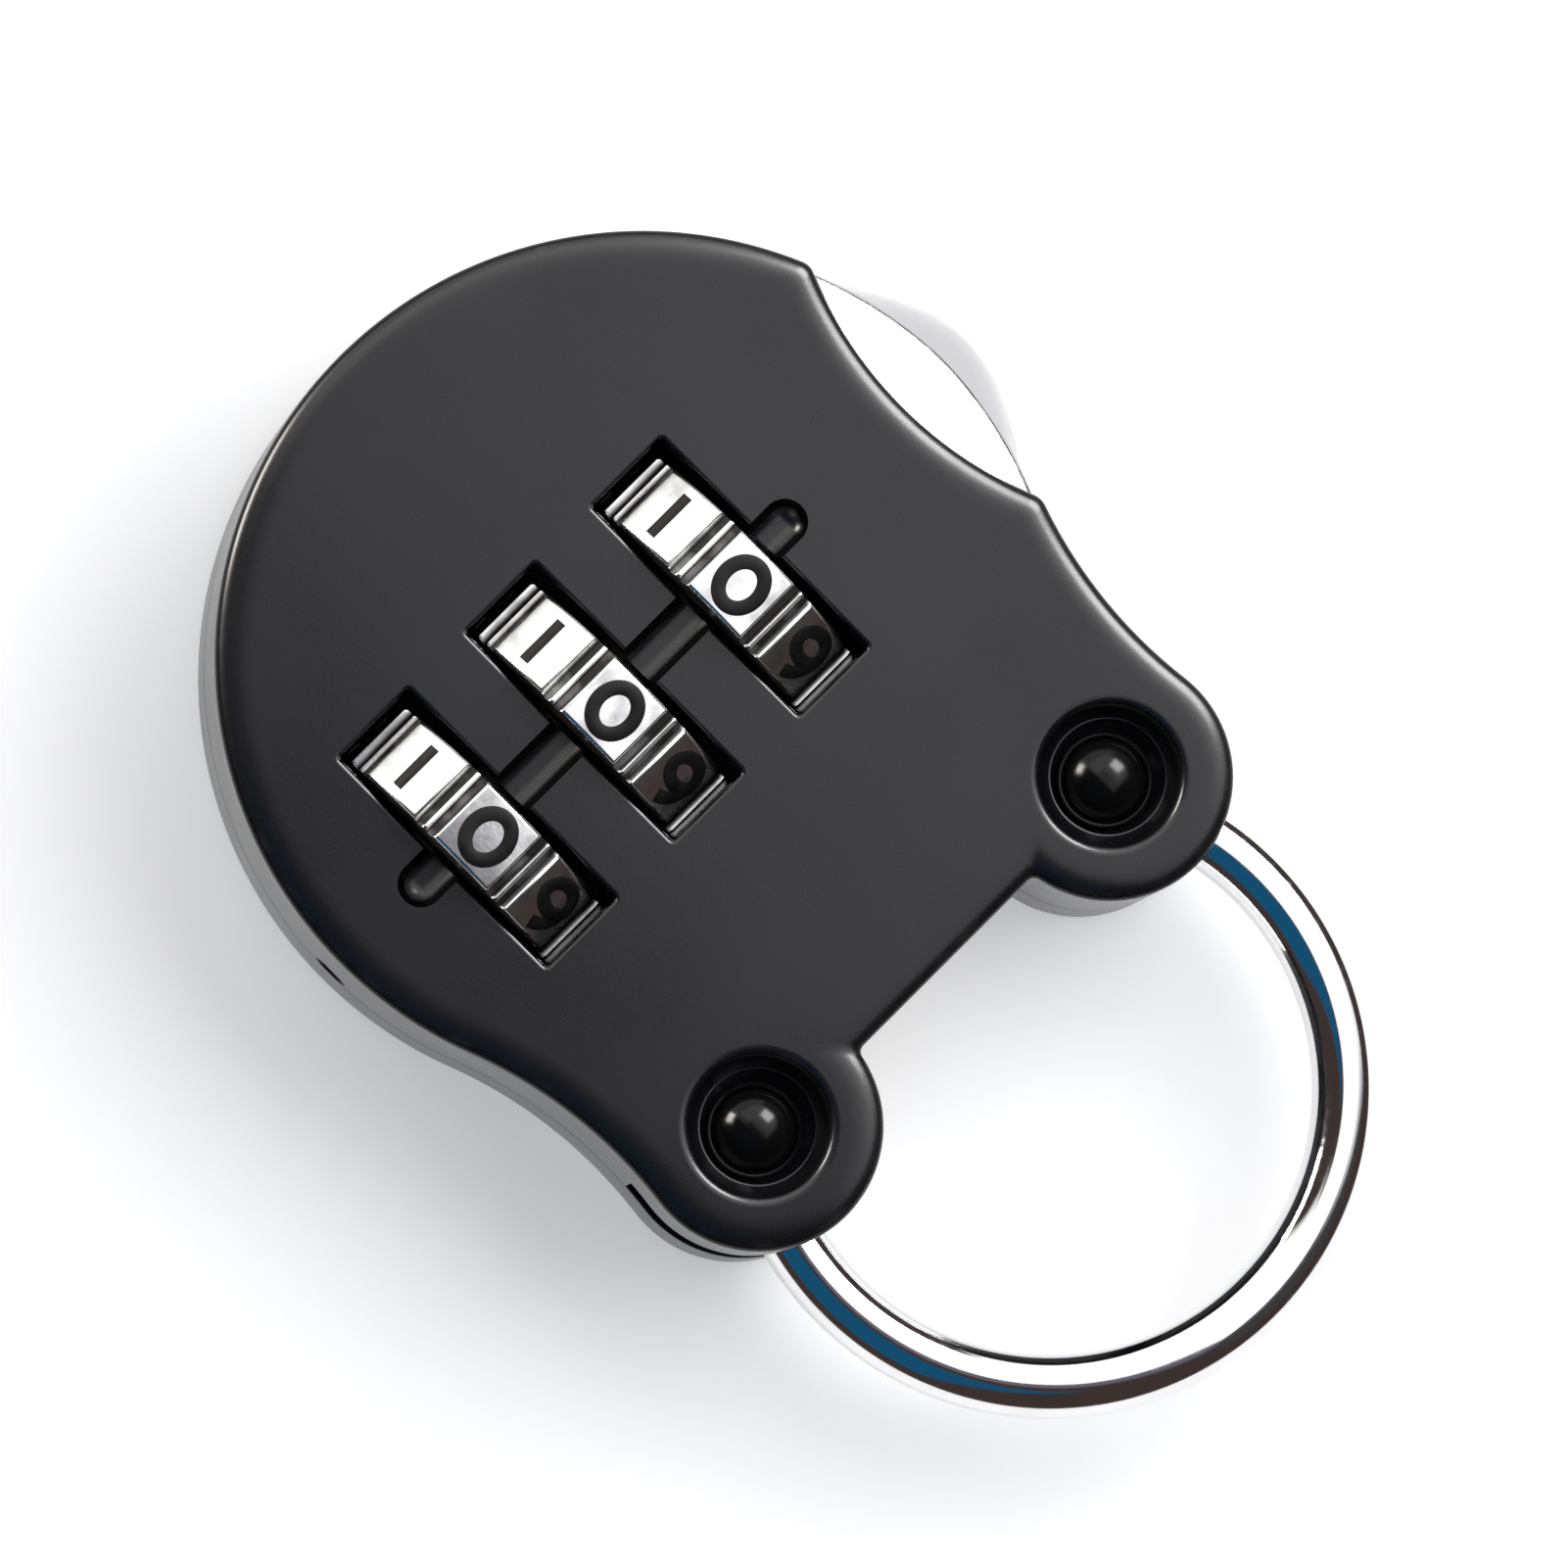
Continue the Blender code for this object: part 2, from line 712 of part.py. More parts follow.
def make_clip():
    """A snap clip in the spindle's groove, open on one side."""
    clip = rod("spindle_clip", (0.0, AXIS_Z), "Y", 10.55, 10.92, 1.9, 28)
    combine(clip, rod("clip_bore", (0.0, AXIS_Z), "Y", 10.0, 11.5, 1.04, 24))
    combine(clip, box("clip_mouth", (-0.8, 0.8), (10.0, 11.5), (AXIS_Z - 3.0, AXIS_Z)))
    return as_part(clip, "spindle_clip", SPRING_STEEL, (0.0, 0.0, AXIS_Z))


def make_latch_arm():
    """A flat arm from the button's flange to a tooth beside the ring's free end."""
    outline = [
        (4.2, 12.15),
        (4.2, 10.95),
        (6.5, 10.6),
        (13.7, 7.9),
        (19.35, 7.9),
        (19.85, 8.4),
        (19.85, 9.1),
        (19.05, 9.1),
        (19.05, 8.5),
        (13.9, 8.5),
        (7.4, 11.4),
        (7.4, 12.15),
    ]
    arm = prism("latch_arm", outline, 5.7, 7.4)
    return as_part(arm, "latch_arm", STEEL, (0.0, 0.0, AXIS_Z))


def polar(radius, angle):
    """A point in the wheel's plane, with the angle taken from straight up."""
    return radius * math.sin(angle), AXIS_Z + radius * math.cos(angle)


def wheel_outline():
    """Ten flat-topped pads, with a groove and a thin ridge between neighbours."""
    pad = [(WHEEL_R, a) for a in (-13.0, -4.5, 4.5, 13.0)]
    floor = WHEEL_R - 0.32
    crest = WHEEL_R - 0.08
    valley = [(floor, 14.2), (floor, 16.6), (crest, 17.0), (crest, 19.0), (floor, 19.4), (floor, 21.8)]
    outline = []
    for k in range(DIGITS):
        for radius, degrees in pad + valley:
            angle = WHEEL_TURN + math.radians(degrees + 360.0 / DIGITS * k)
            outline.append(polar(radius, angle))
    return outline


def toothed_outline(root, tip, share):
    """Ten square-sided teeth; share is the part of each pitch that the tooth fills."""
    outline = []
    pitch = math.tau / DIGITS
    for k in range(DIGITS):
        middle = pitch * k
        half = pitch * share / 2
        outline.append(polar(root, middle - pitch / 2))
        outline.append(polar(root, middle - half))
        outline.append(polar(tip, middle - half))
        outline.append(polar(tip, middle + half))
        outline.append(polar(root, middle + half))
    return outline


def make_wheel(number, y):
    """A number wheel with clutch slots near one face and a wider bore behind them."""
    name = f"number_wheel_{number}"
    half = WHEEL_WIDTH / 2
    wheel = prism(name, wheel_outline(), y - half, y + half, "Y")
    slots = prism(name + "_slots", toothed_outline(3.02, 3.6, 0.46), y - 3.0, y + 3.0, "Y")
    combine(wheel, slots)
    room = rod(name + "_room", (0.0, AXIS_Z), "Y", y - 0.72, y + 3.0, 3.72, 32)
    combine(wheel, room)
    return as_part(wheel, name, CHROME, (0.0, y, AXIS_Z))


def make_sleeve(number, y):
    """A clutch sleeve: outer teeth in the wheel's slots, a keyed gate for the lug."""
    name = f"clutch_sleeve_{number}"
    low = y - SLEEVE_HALF
    high = 6.3 if number == 1 else y + SLEEVE_HALF
    sleeve = rod(name, (0.0, AXIS_Z), "Y", low, high, SLEEVE_R, 30)
    teeth = prism(name + "_teeth", toothed_outline(2.6, 3.5, 0.38), y - 1.55, y - 0.82, "Y")
    combine(sleeve, teeth, "UNION")
    combine(sleeve, rod(name + "_room", (0.0, AXIS_Z), "Y", y - 1.4, high + 1.0, 2.2, 24))
    combine(sleeve, rod(name + "_bore", (0.0, AXIS_Z), "Y", low - 1.0, y, 1.34, 24))
    key = box(name + "_key", (-0.6, 0.6), (low - 1.0, y), (AXIS_Z + 0.8, AXIS_Z + 2.12))
    combine(sleeve, key)
    return as_part(sleeve, name, BRASS, (0.0, y, AXIS_Z))


def make_reset_pin():
    """A thin stepped pin behind the hole in the case wall, for a pointed tool."""
    pin = rod("reset_pin", (0.0, RESET_Z), "Y", -17.15, -13.47, RESET_PIN_R, 20)
    combine(pin, rod("reset_collar", (0.0, RESET_Z), "Y", -16.22, -15.94, 0.8, 20), "UNION")
    return as_part(pin, "reset_pin", STEEL, (0.0, 0.0, RESET_Z))


make_front_shell()
make_rear_cover()
make_rivet("hinge_rivet", -LOBE_Y)
make_rivet("latch_rivet", LOBE_Y)
make_screw("case_screw_lower", -SCREW_Y)
make_screw("case_screw_upper", SCREW_Y)
make_washer("hinge_washer_front", EYE_Z[1] + 0.07, SLOT_Z[1] - 0.06)
make_washer("hinge_washer_rear", SPLIT_Z + 0.08, EYE_Z[0] - 0.07)
make_bearing_plate("bearing_plate_button", BUTTON_BEARING_Y, 4.2, False)
make_bearing_plate("bearing_plate_reset", RESET_BEARING_Y, 3.6, True)
make_detent_spring()
make_shackle_ring()
make_button()
make_spindle()
make_clip()
make_latch_arm()
for index, middle_y in enumerate(WHEEL_Y, 1):
    make_wheel(index, middle_y)
    make_sleeve(index, middle_y)
make_reset_pin()
as_part(
    coil("button_spring", 9.2, 11.92, 2.8, 0.22, 3.5),
    "button_spring",
    SPRING_STEEL,
    (0.0, 0.0, AXIS_Z),
)
as_part(
    coil("reset_spring", 6.5, 8.1, 2.5, 0.15, 2.5),
    "reset_spring",
    SPRING_STEEL,
    (0.0, 0.0, AXIS_Z),
)
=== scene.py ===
"""Looks of the luggage combination padlock: satin black case, chrome ring, number
wheels and button, glossy black rivets. The lock's lengths are millimetres, and MM
turns them into metres where a mesh is made. The lights and the camera are placed in
metres. X runs from the round end to the ring, Y from the reset hole to the button,
Z out of the front face.
"""

import math

import bmesh
import bpy
from mathutils import Matrix, Vector


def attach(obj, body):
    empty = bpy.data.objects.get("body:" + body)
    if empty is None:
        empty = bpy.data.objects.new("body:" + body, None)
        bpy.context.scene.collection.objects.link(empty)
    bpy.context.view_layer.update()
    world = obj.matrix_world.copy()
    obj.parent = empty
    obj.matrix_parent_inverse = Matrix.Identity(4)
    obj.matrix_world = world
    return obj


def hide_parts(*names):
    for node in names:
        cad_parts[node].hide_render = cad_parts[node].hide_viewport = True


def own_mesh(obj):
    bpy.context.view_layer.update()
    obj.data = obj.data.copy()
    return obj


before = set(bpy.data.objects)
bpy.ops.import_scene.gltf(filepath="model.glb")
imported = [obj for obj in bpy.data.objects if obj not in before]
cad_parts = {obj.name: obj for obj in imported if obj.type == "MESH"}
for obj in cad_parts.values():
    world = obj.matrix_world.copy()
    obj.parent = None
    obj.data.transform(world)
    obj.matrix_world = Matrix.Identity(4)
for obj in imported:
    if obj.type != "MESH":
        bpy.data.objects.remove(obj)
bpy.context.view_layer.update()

MM = 0.001
SMALLEST_R = 0.004

# Case
THICKNESS = 13.0
SPLIT_Z = 5.0
SPLIT_GAP = 0.05
BODY_R = 17.5
LOBE_R = 5.1
LOBE_X = 16.6
LOBE_Y = 10.1
LOBES = (("hinge", -LOBE_Y), ("latch", LOBE_Y))
FLANK_R = 19.8
STRAIGHT_X = 17.3
NOTCH_Y = 31.6
NOTCH_R = 16.8
WALL = 1.2
FRONT_PLATE = 1.1
REAR_PLATE = 1.0
CAVITY_END_X = 12.6
EDGE_IN = 1.5
EDGE_DOWN = 0.7
CORNER_REACH = 0.35

# Number wheels
AXIS_Z = 7.9
WHEEL_Y = (4.7, -2.55, -9.8)
WHEEL_R = 6.74
WHEEL_WIDTH = 3.2
WHEEL_ROOM_R = 7.02
WHEEL_SIDE_GAP = 0.3
WHEEL_TURN = math.radians(4.7)
DIGITS = 10
CLUTCH_ROOT = 3.02
CLUTCH_TIP = 3.6
CLUTCH_SHARE = 0.46
CLUTCH_ROOM_R = 3.72
WINDOW_Y = (4.8, -2.45, -9.7)
WINDOW_HALF_X = 5.95
WINDOW_HALF_Y = 1.97
GROOVE_HALF = 0.95
GROOVE_DEPTH = 0.65
GROOVE_Y = (-13.9, 8.9)

# Ring shackle
RING_X = 24.05
RING_R = 12.2
WIRE_R = 1.35
RING_Z = 6.55
RING_END = math.radians(119.2)
RING_START = math.radians(-121.5)
LATCH_NOTCH = (math.radians(112.3), math.radians(117.1))
LATCH_NOTCH_DEPTH = 0.75
LATCH_SLOT = (math.radians(85.0), math.radians(68.0))
WIRE_GAP = 0.25
EYE_R = 2.2
EYE_Z = (5.5, 7.5)
SLOT_Z = (SPLIT_Z - 0.2, 8.1)
SWING = math.radians(70.0)

# Rivets, button, reset pin and screws
HOLE_R = 0.98
HEAD_Z = 12.0
HEAD_SHIFT = 0.2
BUTTON_HALF_X = 6.3
BUTTON_Z = (1.4, 11.6)
BUTTON_EDGE_R = 17.55
BUTTON_BULGE = 2.0
BUTTON_EASE = 0.16
OPENING_HALF_X = 6.42
OPENING_Y = (12.9, 18.0)
OPENING_GAP = 0.15
FLANGE_HALF_X = 7.6
FLANGE_Y = (12.2, 13.1)
RESET_Z = 5.9
SCREW_X = -11.2
SCREW_Y = 8.2
BOSS_R = 1.8
THREAD_R = 0.8
POST_R = 2.2
BORE_R = 0.85

pieces = bpy.data.collections.new("looks")
bpy.context.scene.collection.children.link(pieces)


# Mesh helpers


def from_bmesh(name, built):
    """Close a mesh up, turn its faces outward and make an object of it."""
    bmesh.ops.remove_doubles(built, verts=built.verts, dist=1e-8)
    bmesh.ops.recalc_face_normals(built, faces=built.faces)
    data = bpy.data.meshes.new(name)
    built.to_mesh(data)
    built.free()
    made = bpy.data.objects.new(name, data)
    pieces.objects.link(made)
    return made


def stack(name, sections):
    """Walls between outlines of equal length at rising heights, closed at both ends."""
    built = bmesh.new()
    rings = []
    for outline, z in sections:
        rings.append([built.verts.new((x * MM, y * MM, z * MM)) for x, y in outline])
    for lower, upper in zip(rings, rings[1:]):
        for i in range(len(lower)):
            j = (i + 1) % len(lower)
            built.faces.new((lower[i], lower[j], upper[j], upper[i]))
    built.faces.new(list(reversed(rings[0])))
    built.faces.new(rings[-1])
    return from_bmesh(name, built)


def stand(obj):
    """Turn a stack so that its height runs along Y and its outline lies in X and Z."""
    obj.data.transform(Matrix(((1, 0, 0, 0), (0, 0, 1, 0), (0, 1, 0, 0), (0, 0, 0, 1))))
    obj.data.flip_normals()
    return obj


def prism(name, outline, low, high):
    """An outline drawn up from one height to another."""
    return stack(name, [(outline, low), (outline, high)])


def circle(centre, radius, count):
    """Points round a full circle, counterclockwise."""
    made = []
    for i in range(count):
        angle = math.tau * i / count
        made.append((centre[0] + radius * math.cos(angle), centre[1] + radius * math.sin(angle)))
    return made


def turned(name, centre, profile, count=72):
    """A round piece along Z from (radius, height) pairs, bottom to top."""
    sections = [(circle(centre, max(r, SMALLEST_R), count), z) for r, z in profile]
    return stack(name, sections)


def turned_y(name, centre, profile, count=64):
    """A round piece along Y from (radius, y) pairs."""
    return stand(turned(name, centre, profile, count))


def box(name, x, y, z):
    """A block between two limits along each axis."""
    outline = [(x[0], y[0]), (x[1], y[0]), (x[1], y[1]), (x[0], y[1])]
    return prism(name, outline, *z)


def combine(target, tool, operation="DIFFERENCE"):
    """Cut a tool out of a target, or join it on, and throw the tool away."""
    modifier = target.modifiers.new(tool.name, "BOOLEAN")
    modifier.operation = operation
    modifier.solver = "EXACT"
    modifier.object = tool
    bpy.context.view_layer.update()
    graph = bpy.context.evaluated_depsgraph_get()
    made = bpy.data.meshes.new_from_object(target.evaluated_get(graph))
    target.modifiers.clear()
    old = target.data
    target.data = made
    bpy.data.meshes.remove(old)
    bpy.data.objects.remove(tool, do_unlink=True)
    return target


def finish_piece(obj, name, body, material, node=None, sharp=32.0):
    """Shade a piece smoothly up to its sharp edges and fix it to its body."""
    obj.name = name
    obj.data.name = name
    obj.data.materials.clear()
    obj.data.materials.append(material)
    for face in obj.data.polygons:
        face.use_smooth = True
    obj.data.set_sharp_from_angle(angle=math.radians(sharp))
    weighted = obj.modifiers.new("even_shading", "WEIGHTED_NORMAL")
    weighted.keep_sharp = True
    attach(obj, body)
    if node:
        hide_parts(node)
    return obj


# The case outline


def arc(centre, radius, start, end, count):
    """Points along an arc, both ends included."""
    made = []
    for i in range(count + 1):
        angle = start + (end - start) * i / count
        made.append((centre[0] + radius * math.cos(angle), centre[1] + radius * math.sin(angle)))
    return made


def circles_meet(first, r_first, second, r_second, side):
    """Where two circles meet, on the left (+1) or right (-1) of the line between them."""
    a = Vector(first)
    line = Vector(second) - a
    gap = line.length
    along = (r_first**2 - r_second**2 + gap**2) / (2 * gap)
    across = math.sqrt(r_first**2 - along**2)
    unit = line / gap
    point = a + unit * along + Vector((-unit.y, unit.x)) * across * side
    return point.x, point.y


def angle_of(centre, point):
    """The direction from a centre to a point, counterclockwise from X."""
    return math.atan2(point[1] - centre[1], point[0] - centre[0])


FLANK = circles_meet((0.0, 0.0), BODY_R + FLANK_R, (LOBE_X, LOBE_Y), LOBE_R + FLANK_R, 1)


def rounded(runs):
    """Join runs of points, easing each listed corner with a short curve."""
    made = []
    for i, (points, corner) in enumerate(runs):
        after = runs[(i + 1) % len(runs)][0]
        made += points
        if corner:
            start = Vector(points[-1])
            end = Vector(after[0])
            peak = Vector(corner)
            for step in range(1, 8):
                t = step / 8
                eased = start * (1 - t) ** 2 + peak * 2 * t * (1 - t) + end * t**2
                made.append((eased.x, eased.y))
        else:
            made.pop()
    return made


def case_outline(inset=0.0, detail=2.6):
    """The lock's outline, counterclockwise from the ring side of the button lobe."""
    body = BODY_R - inset
    lobe = LOBE_R - inset
    flank = FLANK_R + inset
    notch = NOTCH_R + inset
    reach = CORNER_REACH
    drop = math.sqrt(lobe**2 - (STRAIGHT_X - inset - LOBE_X) ** 2)
    upper = (STRAIGHT_X - inset, LOBE_Y - drop)
    lower = (STRAIGHT_X - inset, -LOBE_Y + drop)
    lobe_up = (LOBE_X, LOBE_Y)
    lobe_down = (LOBE_X, -LOBE_Y)
    flank_down = (FLANK[0], -FLANK[1])
    notch_at = (0.0, NOTCH_Y)
    right = circles_meet(FLANK, flank, notch_at, notch, 1)
    left = circles_meet((0.0, 0.0), body, notch_at, notch, 1)
    join_lobe = angle_of(lobe_up, FLANK)
    join_body = angle_of((0.0, 0.0), FLANK)

    def steps(number):
        return int(number * detail)

    lobe_start = angle_of(lobe_up, upper) + reach / lobe
    flank_end = angle_of(FLANK, right) + reach / flank
    notch_start = angle_of(notch_at, right) - reach / notch
    notch_end = angle_of(notch_at, left) + reach / notch
    body_start = angle_of((0.0, 0.0), left) + reach / body
    lobe_end = angle_of(lobe_down, lower) - reach / lobe
    runs = [
        (arc(lobe_up, lobe, lobe_start, join_lobe, steps(22)), None),
        (arc(FLANK, flank, join_lobe - math.pi, flank_end, steps(9)), right),
        (arc(notch_at, notch, notch_start, notch_end, steps(12)), left),
        (arc((0.0, 0.0), body, body_start, math.tau - join_body, steps(44)), None),
        (arc(flank_down, flank, math.pi - join_body, math.pi - join_lobe, steps(10)), None),
        (arc(lobe_down, lobe, -join_lobe, lobe_end, steps(22)), lower),
        ([(lower[0], lower[1] + reach), (upper[0], upper[1] - reach)], upper),
    ]
    return rounded(runs)


def cavity_outline():
    """The inside of the case walls, stopped short of the two lobes."""
    inside = case_outline(WALL, 0.8)
    kept = [p for p in inside if p[0] < CAVITY_END_X]
    top = [p for p in kept if p[1] > 0][0]
    bottom = [p for p in kept if p[1] < 0][-1]
    start = kept.index(top)
    ordered = kept[start:] + kept[:start]
    return ordered + [(CAVITY_END_X, bottom[1]), (CAVITY_END_X, top[1])]


# Cutting shapes shared by the two case halves


def hinge_slot():
    """Room for the ring to leave the hinge lobe and swing open."""
    gap = math.dist((RING_X, 0.0), (LOBE_X, -LOBE_Y))
    toward = math.atan2(LOBE_Y, RING_X - LOBE_X)
    nearest, length, steps = 2.4, 6.6, 16
    upper = []
    lower = []
    for i in range(steps + 1):
        reach = nearest + length * i / steps
        along = toward - math.acos((reach**2 + gap**2 - RING_R**2) / (2 * reach * gap))
        half = math.asin((WIRE_R + WIRE_GAP) / reach)
        for side, made in ((along + half, upper), (along - half - SWING - 0.05, lower)):
            made.append((LOBE_X + reach * math.cos(side), -LOBE_Y + reach * math.sin(side)))
    return upper + lower[::-1]


def latch_slot():
    """Room for the ring's free end to leave the latch lobe."""
    centre = (RING_X, 0.0)
    hinge = (LOBE_X, -LOBE_Y)
    past_end = RING_END + math.radians(1.3)
    outer = arc(centre, RING_R + WIRE_R + WIRE_GAP, LATCH_SLOT[0], past_end, 16)
    corner = arc(centre, RING_R - WIRE_R - 0.2, past_end, past_end, 1)[0]
    radius = math.dist(hinge, corner)
    inner = arc(hinge, radius, angle_of(hinge, corner), LATCH_SLOT[1], 12)
    return outer + inner


def latch_channel():
    """Room for the latch arm beside the latch rivet."""
    return [
        (CAVITY_END_X - 0.2, 9.6),
        (14.3, 8.72),
        (18.8, 8.72),
        (18.8, 9.6),
        (20.1, 9.6),
        (20.1, 7.1),
        (19.5, 6.5),
        (CAVITY_END_X - 0.2, 6.5),
    ]


def window_outline(y, grow, corner):
    """A window with rounded corners, eased outward by grow."""
    x = WINDOW_HALF_X + grow
    h = WINDOW_HALF_Y + grow
    r = corner + grow
    made = []
    for sx, sy, start in ((1, 1, 0.0), (-1, 1, 90.0), (-1, -1, 180.0), (1, -1, 270.0)):
        centre = (sx * (x - r), y + sy * (h - r))
        made += arc(centre, r, math.radians(start), math.radians(start + 90.0), 6)
    return made


def window(y):
    """A wheel window whose rim is rounded over into the front face."""
    ease = 0.24
    sections = [(window_outline(y, 0.0, 0.12), 10.5)]
    for i in range(7):
        t = math.pi / 2 * i / 6
        grow = ease * (1 - math.cos(t))
        z = THICKNESS - ease + ease * math.sin(t)
        sections.append((window_outline(y, grow, 0.12), z))
    sections.append((window_outline(y, ease + 0.3, 0.12), THICKNESS + 0.03))
    sections.append((window_outline(y, ease + 0.3, 0.12), THICKNESS + 0.6))
    return stack("window", sections)


def index_groove():
    """The round-bottomed index line that runs through the windows."""
    ease = 0.16
    radius = (GROOVE_HALF**2 + GROOVE_DEPTH**2) / (2 * GROOVE_DEPTH)
    sections = []
    levels = []
    for i in range(11):
        depth = GROOVE_DEPTH * math.cos(math.pi / 2 * i / 10)
        up = radius - GROOVE_DEPTH + depth
        levels.append((math.sqrt(max(radius**2 - up**2, 1e-6)), THICKNESS - depth))
    levels[-1] = (GROOVE_HALF, THICKNESS - 0.001)
    levels += [(GROOVE_HALF + ease, THICKNESS + 0.03), (GROOVE_HALF + ease, THICKNESS + 0.6)]
    low = GROOVE_Y[0] + GROOVE_HALF
    high = GROOVE_Y[1] - GROOVE_HALF
    for half, z in levels:
        top = arc((0.0, high), half, 0.0, math.pi, 24)
        bottom = arc((0.0, low), half, math.pi, math.tau, 24)
        sections.append((top + bottom, z))
    return stack("groove", sections)


def cut_case_details(case):
    """Holes and reliefs that the two halves of the case share."""
    for y in WHEEL_Y:
        half = WHEEL_WIDTH / 2 + WHEEL_SIDE_GAP
        ends = ((WHEEL_ROOM_R, y - half), (WHEEL_ROOM_R, y + half))
        combine(case, turned_y("wheel_relief", (0.0, AXIS_Z), ends, 72))
    for name, y in LOBES:
        combine(case, turned(name + "_hole", (LOBE_X, y), ((HOLE_R, -1.0), (HOLE_R, 14.0)), 32))
    low, high = BUTTON_Z
    across = (-OPENING_HALF_X, OPENING_HALF_X)
    opening = box("button_opening", across, OPENING_Y, (low - OPENING_GAP, high + OPENING_GAP))
    combine(case, opening)


def rivet_dish(name, y):
    """The recess round a rivet head, with a softly rounded rim."""
    profile = [
        (2.2, 12.0),
        (2.42, 12.05),
        (2.58, 12.22),
        (2.72, 12.46),
        (2.84, 12.68),
        (2.93, 12.84),
        (3.03, 12.94),
        (3.16, 12.985),
        (3.32, 13.0),
        (3.7, 13.03),
        (3.7, 13.6),
    ]
    return turned(name, (LOBE_X, y), profile, 96)


def edge_levels(inset, height, base, count):
    """A generously rounded outer edge as (inset, height) pairs, from wall to face."""
    made = []
    for i in range(count + 1):
        t = math.pi / 2 * i / count
        across = inset * (1 - math.cos(t) ** 0.74)
        up = height * math.sin(t) ** 0.74
        made.append((across, base + up))
    return made


def make_front_shell(material):
    """The face and upper walls, with windows, groove, rivet dishes and ring slots."""
    low = SPLIT_Z + SPLIT_GAP
    levels = [(0.1, low), (0.03, low + 0.03), (0.0, low + 0.1)]
    levels += edge_levels(EDGE_IN, EDGE_DOWN, THICKNESS - EDGE_DOWN, 14)
    shell = stack("front_shell", [(case_outline(inset), z) for inset, z in levels])
    roof = THICKNESS - FRONT_PLATE
    combine(shell, prism("shell_cavity", cavity_outline(), low - 1.0, roof))
    for side in (-1, 1):
        centre = (SCREW_X, SCREW_Y * side)
        boss = turned("boss", centre, ((BOSS_R, low), (BOSS_R, roof + 0.3)), 32)
        combine(shell, boss, "UNION")
        combine(shell, turned("thread", centre, ((THREAD_R, low - 1.0), (THREAD_R, 9.8)), 24))
    cut_case_details(shell)
    for y in WINDOW_Y:
        combine(shell, window(y))
    combine(shell, index_groove())
    for name, y in LOBES:
        combine(shell, rivet_dish(name + "_dish", y))
        slope = ((1.6, 11.05), (2.36, 11.9), (2.36, 12.1))
        moat = turned(name + "_moat", (LOBE_X, y), slope, 96)
        core = turned(name + "_core", (LOBE_X, y), ((1.55, 11.0), (1.55, 12.4)), 72)
        combine(shell, combine(moat, core))
    hinge_room = turned("eye_room", (LOBE_X, -LOBE_Y), [(EYE_R + 0.3, z) for z in SLOT_Z], 48)
    combine(shell, hinge_room)
    combine(shell, prism("hinge_slot", hinge_slot(), *SLOT_Z))
    combine(shell, prism("latch_slot", latch_slot(), *SLOT_Z))
    combine(shell, prism("latch_channel", latch_channel(), *SLOT_Z))
    hole = ((1.3, -17.85), (0.94, -17.6), (0.7, -17.3), (0.65, -17.1), (0.65, -16.0))
    combine(shell, turned_y("reset_hole", (0.0, RESET_Z), hole, 40))
    return finish_piece(shell, "front_shell_fine", "case", material, "front_shell")


def make_rear_cover(material):
    """The back and lower walls, with the screw posts and room for the rivet tails."""
    levels = []
    for i in range(9):
        t = math.pi / 2 * i / 8
        levels.append((0.62 * (1 - math.sin(t)), 0.62 * (1 - math.cos(t))))
    levels += [(0.0, SPLIT_Z - 0.1), (0.03, SPLIT_Z - 0.03), (0.1, SPLIT_Z)]
    cover = stack("rear_cover", [(case_outline(inset), z) for inset, z in levels])
    combine(cover, prism("cover_cavity", cavity_outline(), REAR_PLATE, SPLIT_Z + 1.0))
    for side in (-1, 1):
        centre = (SCREW_X, SCREW_Y * side)
        post = turned("post", centre, ((POST_R, 0.4), (POST_R, SPLIT_Z - 0.05)), 32)
        combine(cover, post, "UNION")
        combine(cover, turned("bore", centre, ((BORE_R, -1.0), (BORE_R, SPLIT_Z + 1.0)), 24))
        head = ((2.1, -0.4), (2.1, -0.03), (1.95, 0.0), (1.8, 0.06), (1.75, 0.16), (1.75, 1.35))
        combine(cover, turned("head_room", centre, head, 48))
    cut_case_details(cover)
    for name, y in LOBES:
        tail = ((2.3, -0.4), (2.3, -0.03), (2.12, 0.0), (2.0, 0.05), (1.95, 0.14), (1.95, 0.55))
        combine(cover, turned(name + "_tail_room", (LOBE_X, y), tail, 48))
    return finish_piece(cover, "rear_cover_fine", "case", material, "rear_cover")


# Rivets, screws and the ring


def make_rivet(name, y, material):
    """A domed head on a thin rounded flange, set slightly off the middle of its dish."""
    profile = [
        (0.02, 0.1),
        (0.5, 0.08),
        (1.5, 0.06),
        (1.66, 0.09),
        (1.74, 0.17),
        (1.75, 0.48),
        (0.9, 0.48),
        (0.9, 12.08),
        (1.88, 12.08),
        (1.94, 12.12),
        (1.96, 12.2),
        (1.94, 12.27),
        (1.88, 12.32),
        (1.82, 12.31),
        (1.77, 12.24),
        (1.73, 12.16),
        (1.69, 12.1),
    ]
    radius = 1.86
    edge = math.asin(1.67 / radius)
    for i in range(15):
        angle = edge * (14 - i) / 14
        height = 13.2 - radius + radius * math.cos(angle)
        profile.append((radius * math.sin(angle), height))
    rivet = turned(name, (LOBE_X, y), profile, 80)
    for corner in rivet.data.vertices:
        if corner.co.z > HEAD_Z * MM:
            corner.co.y -= HEAD_SHIFT * MM
    return finish_piece(rivet, name + "_fine", "case", material, name, 40.0)


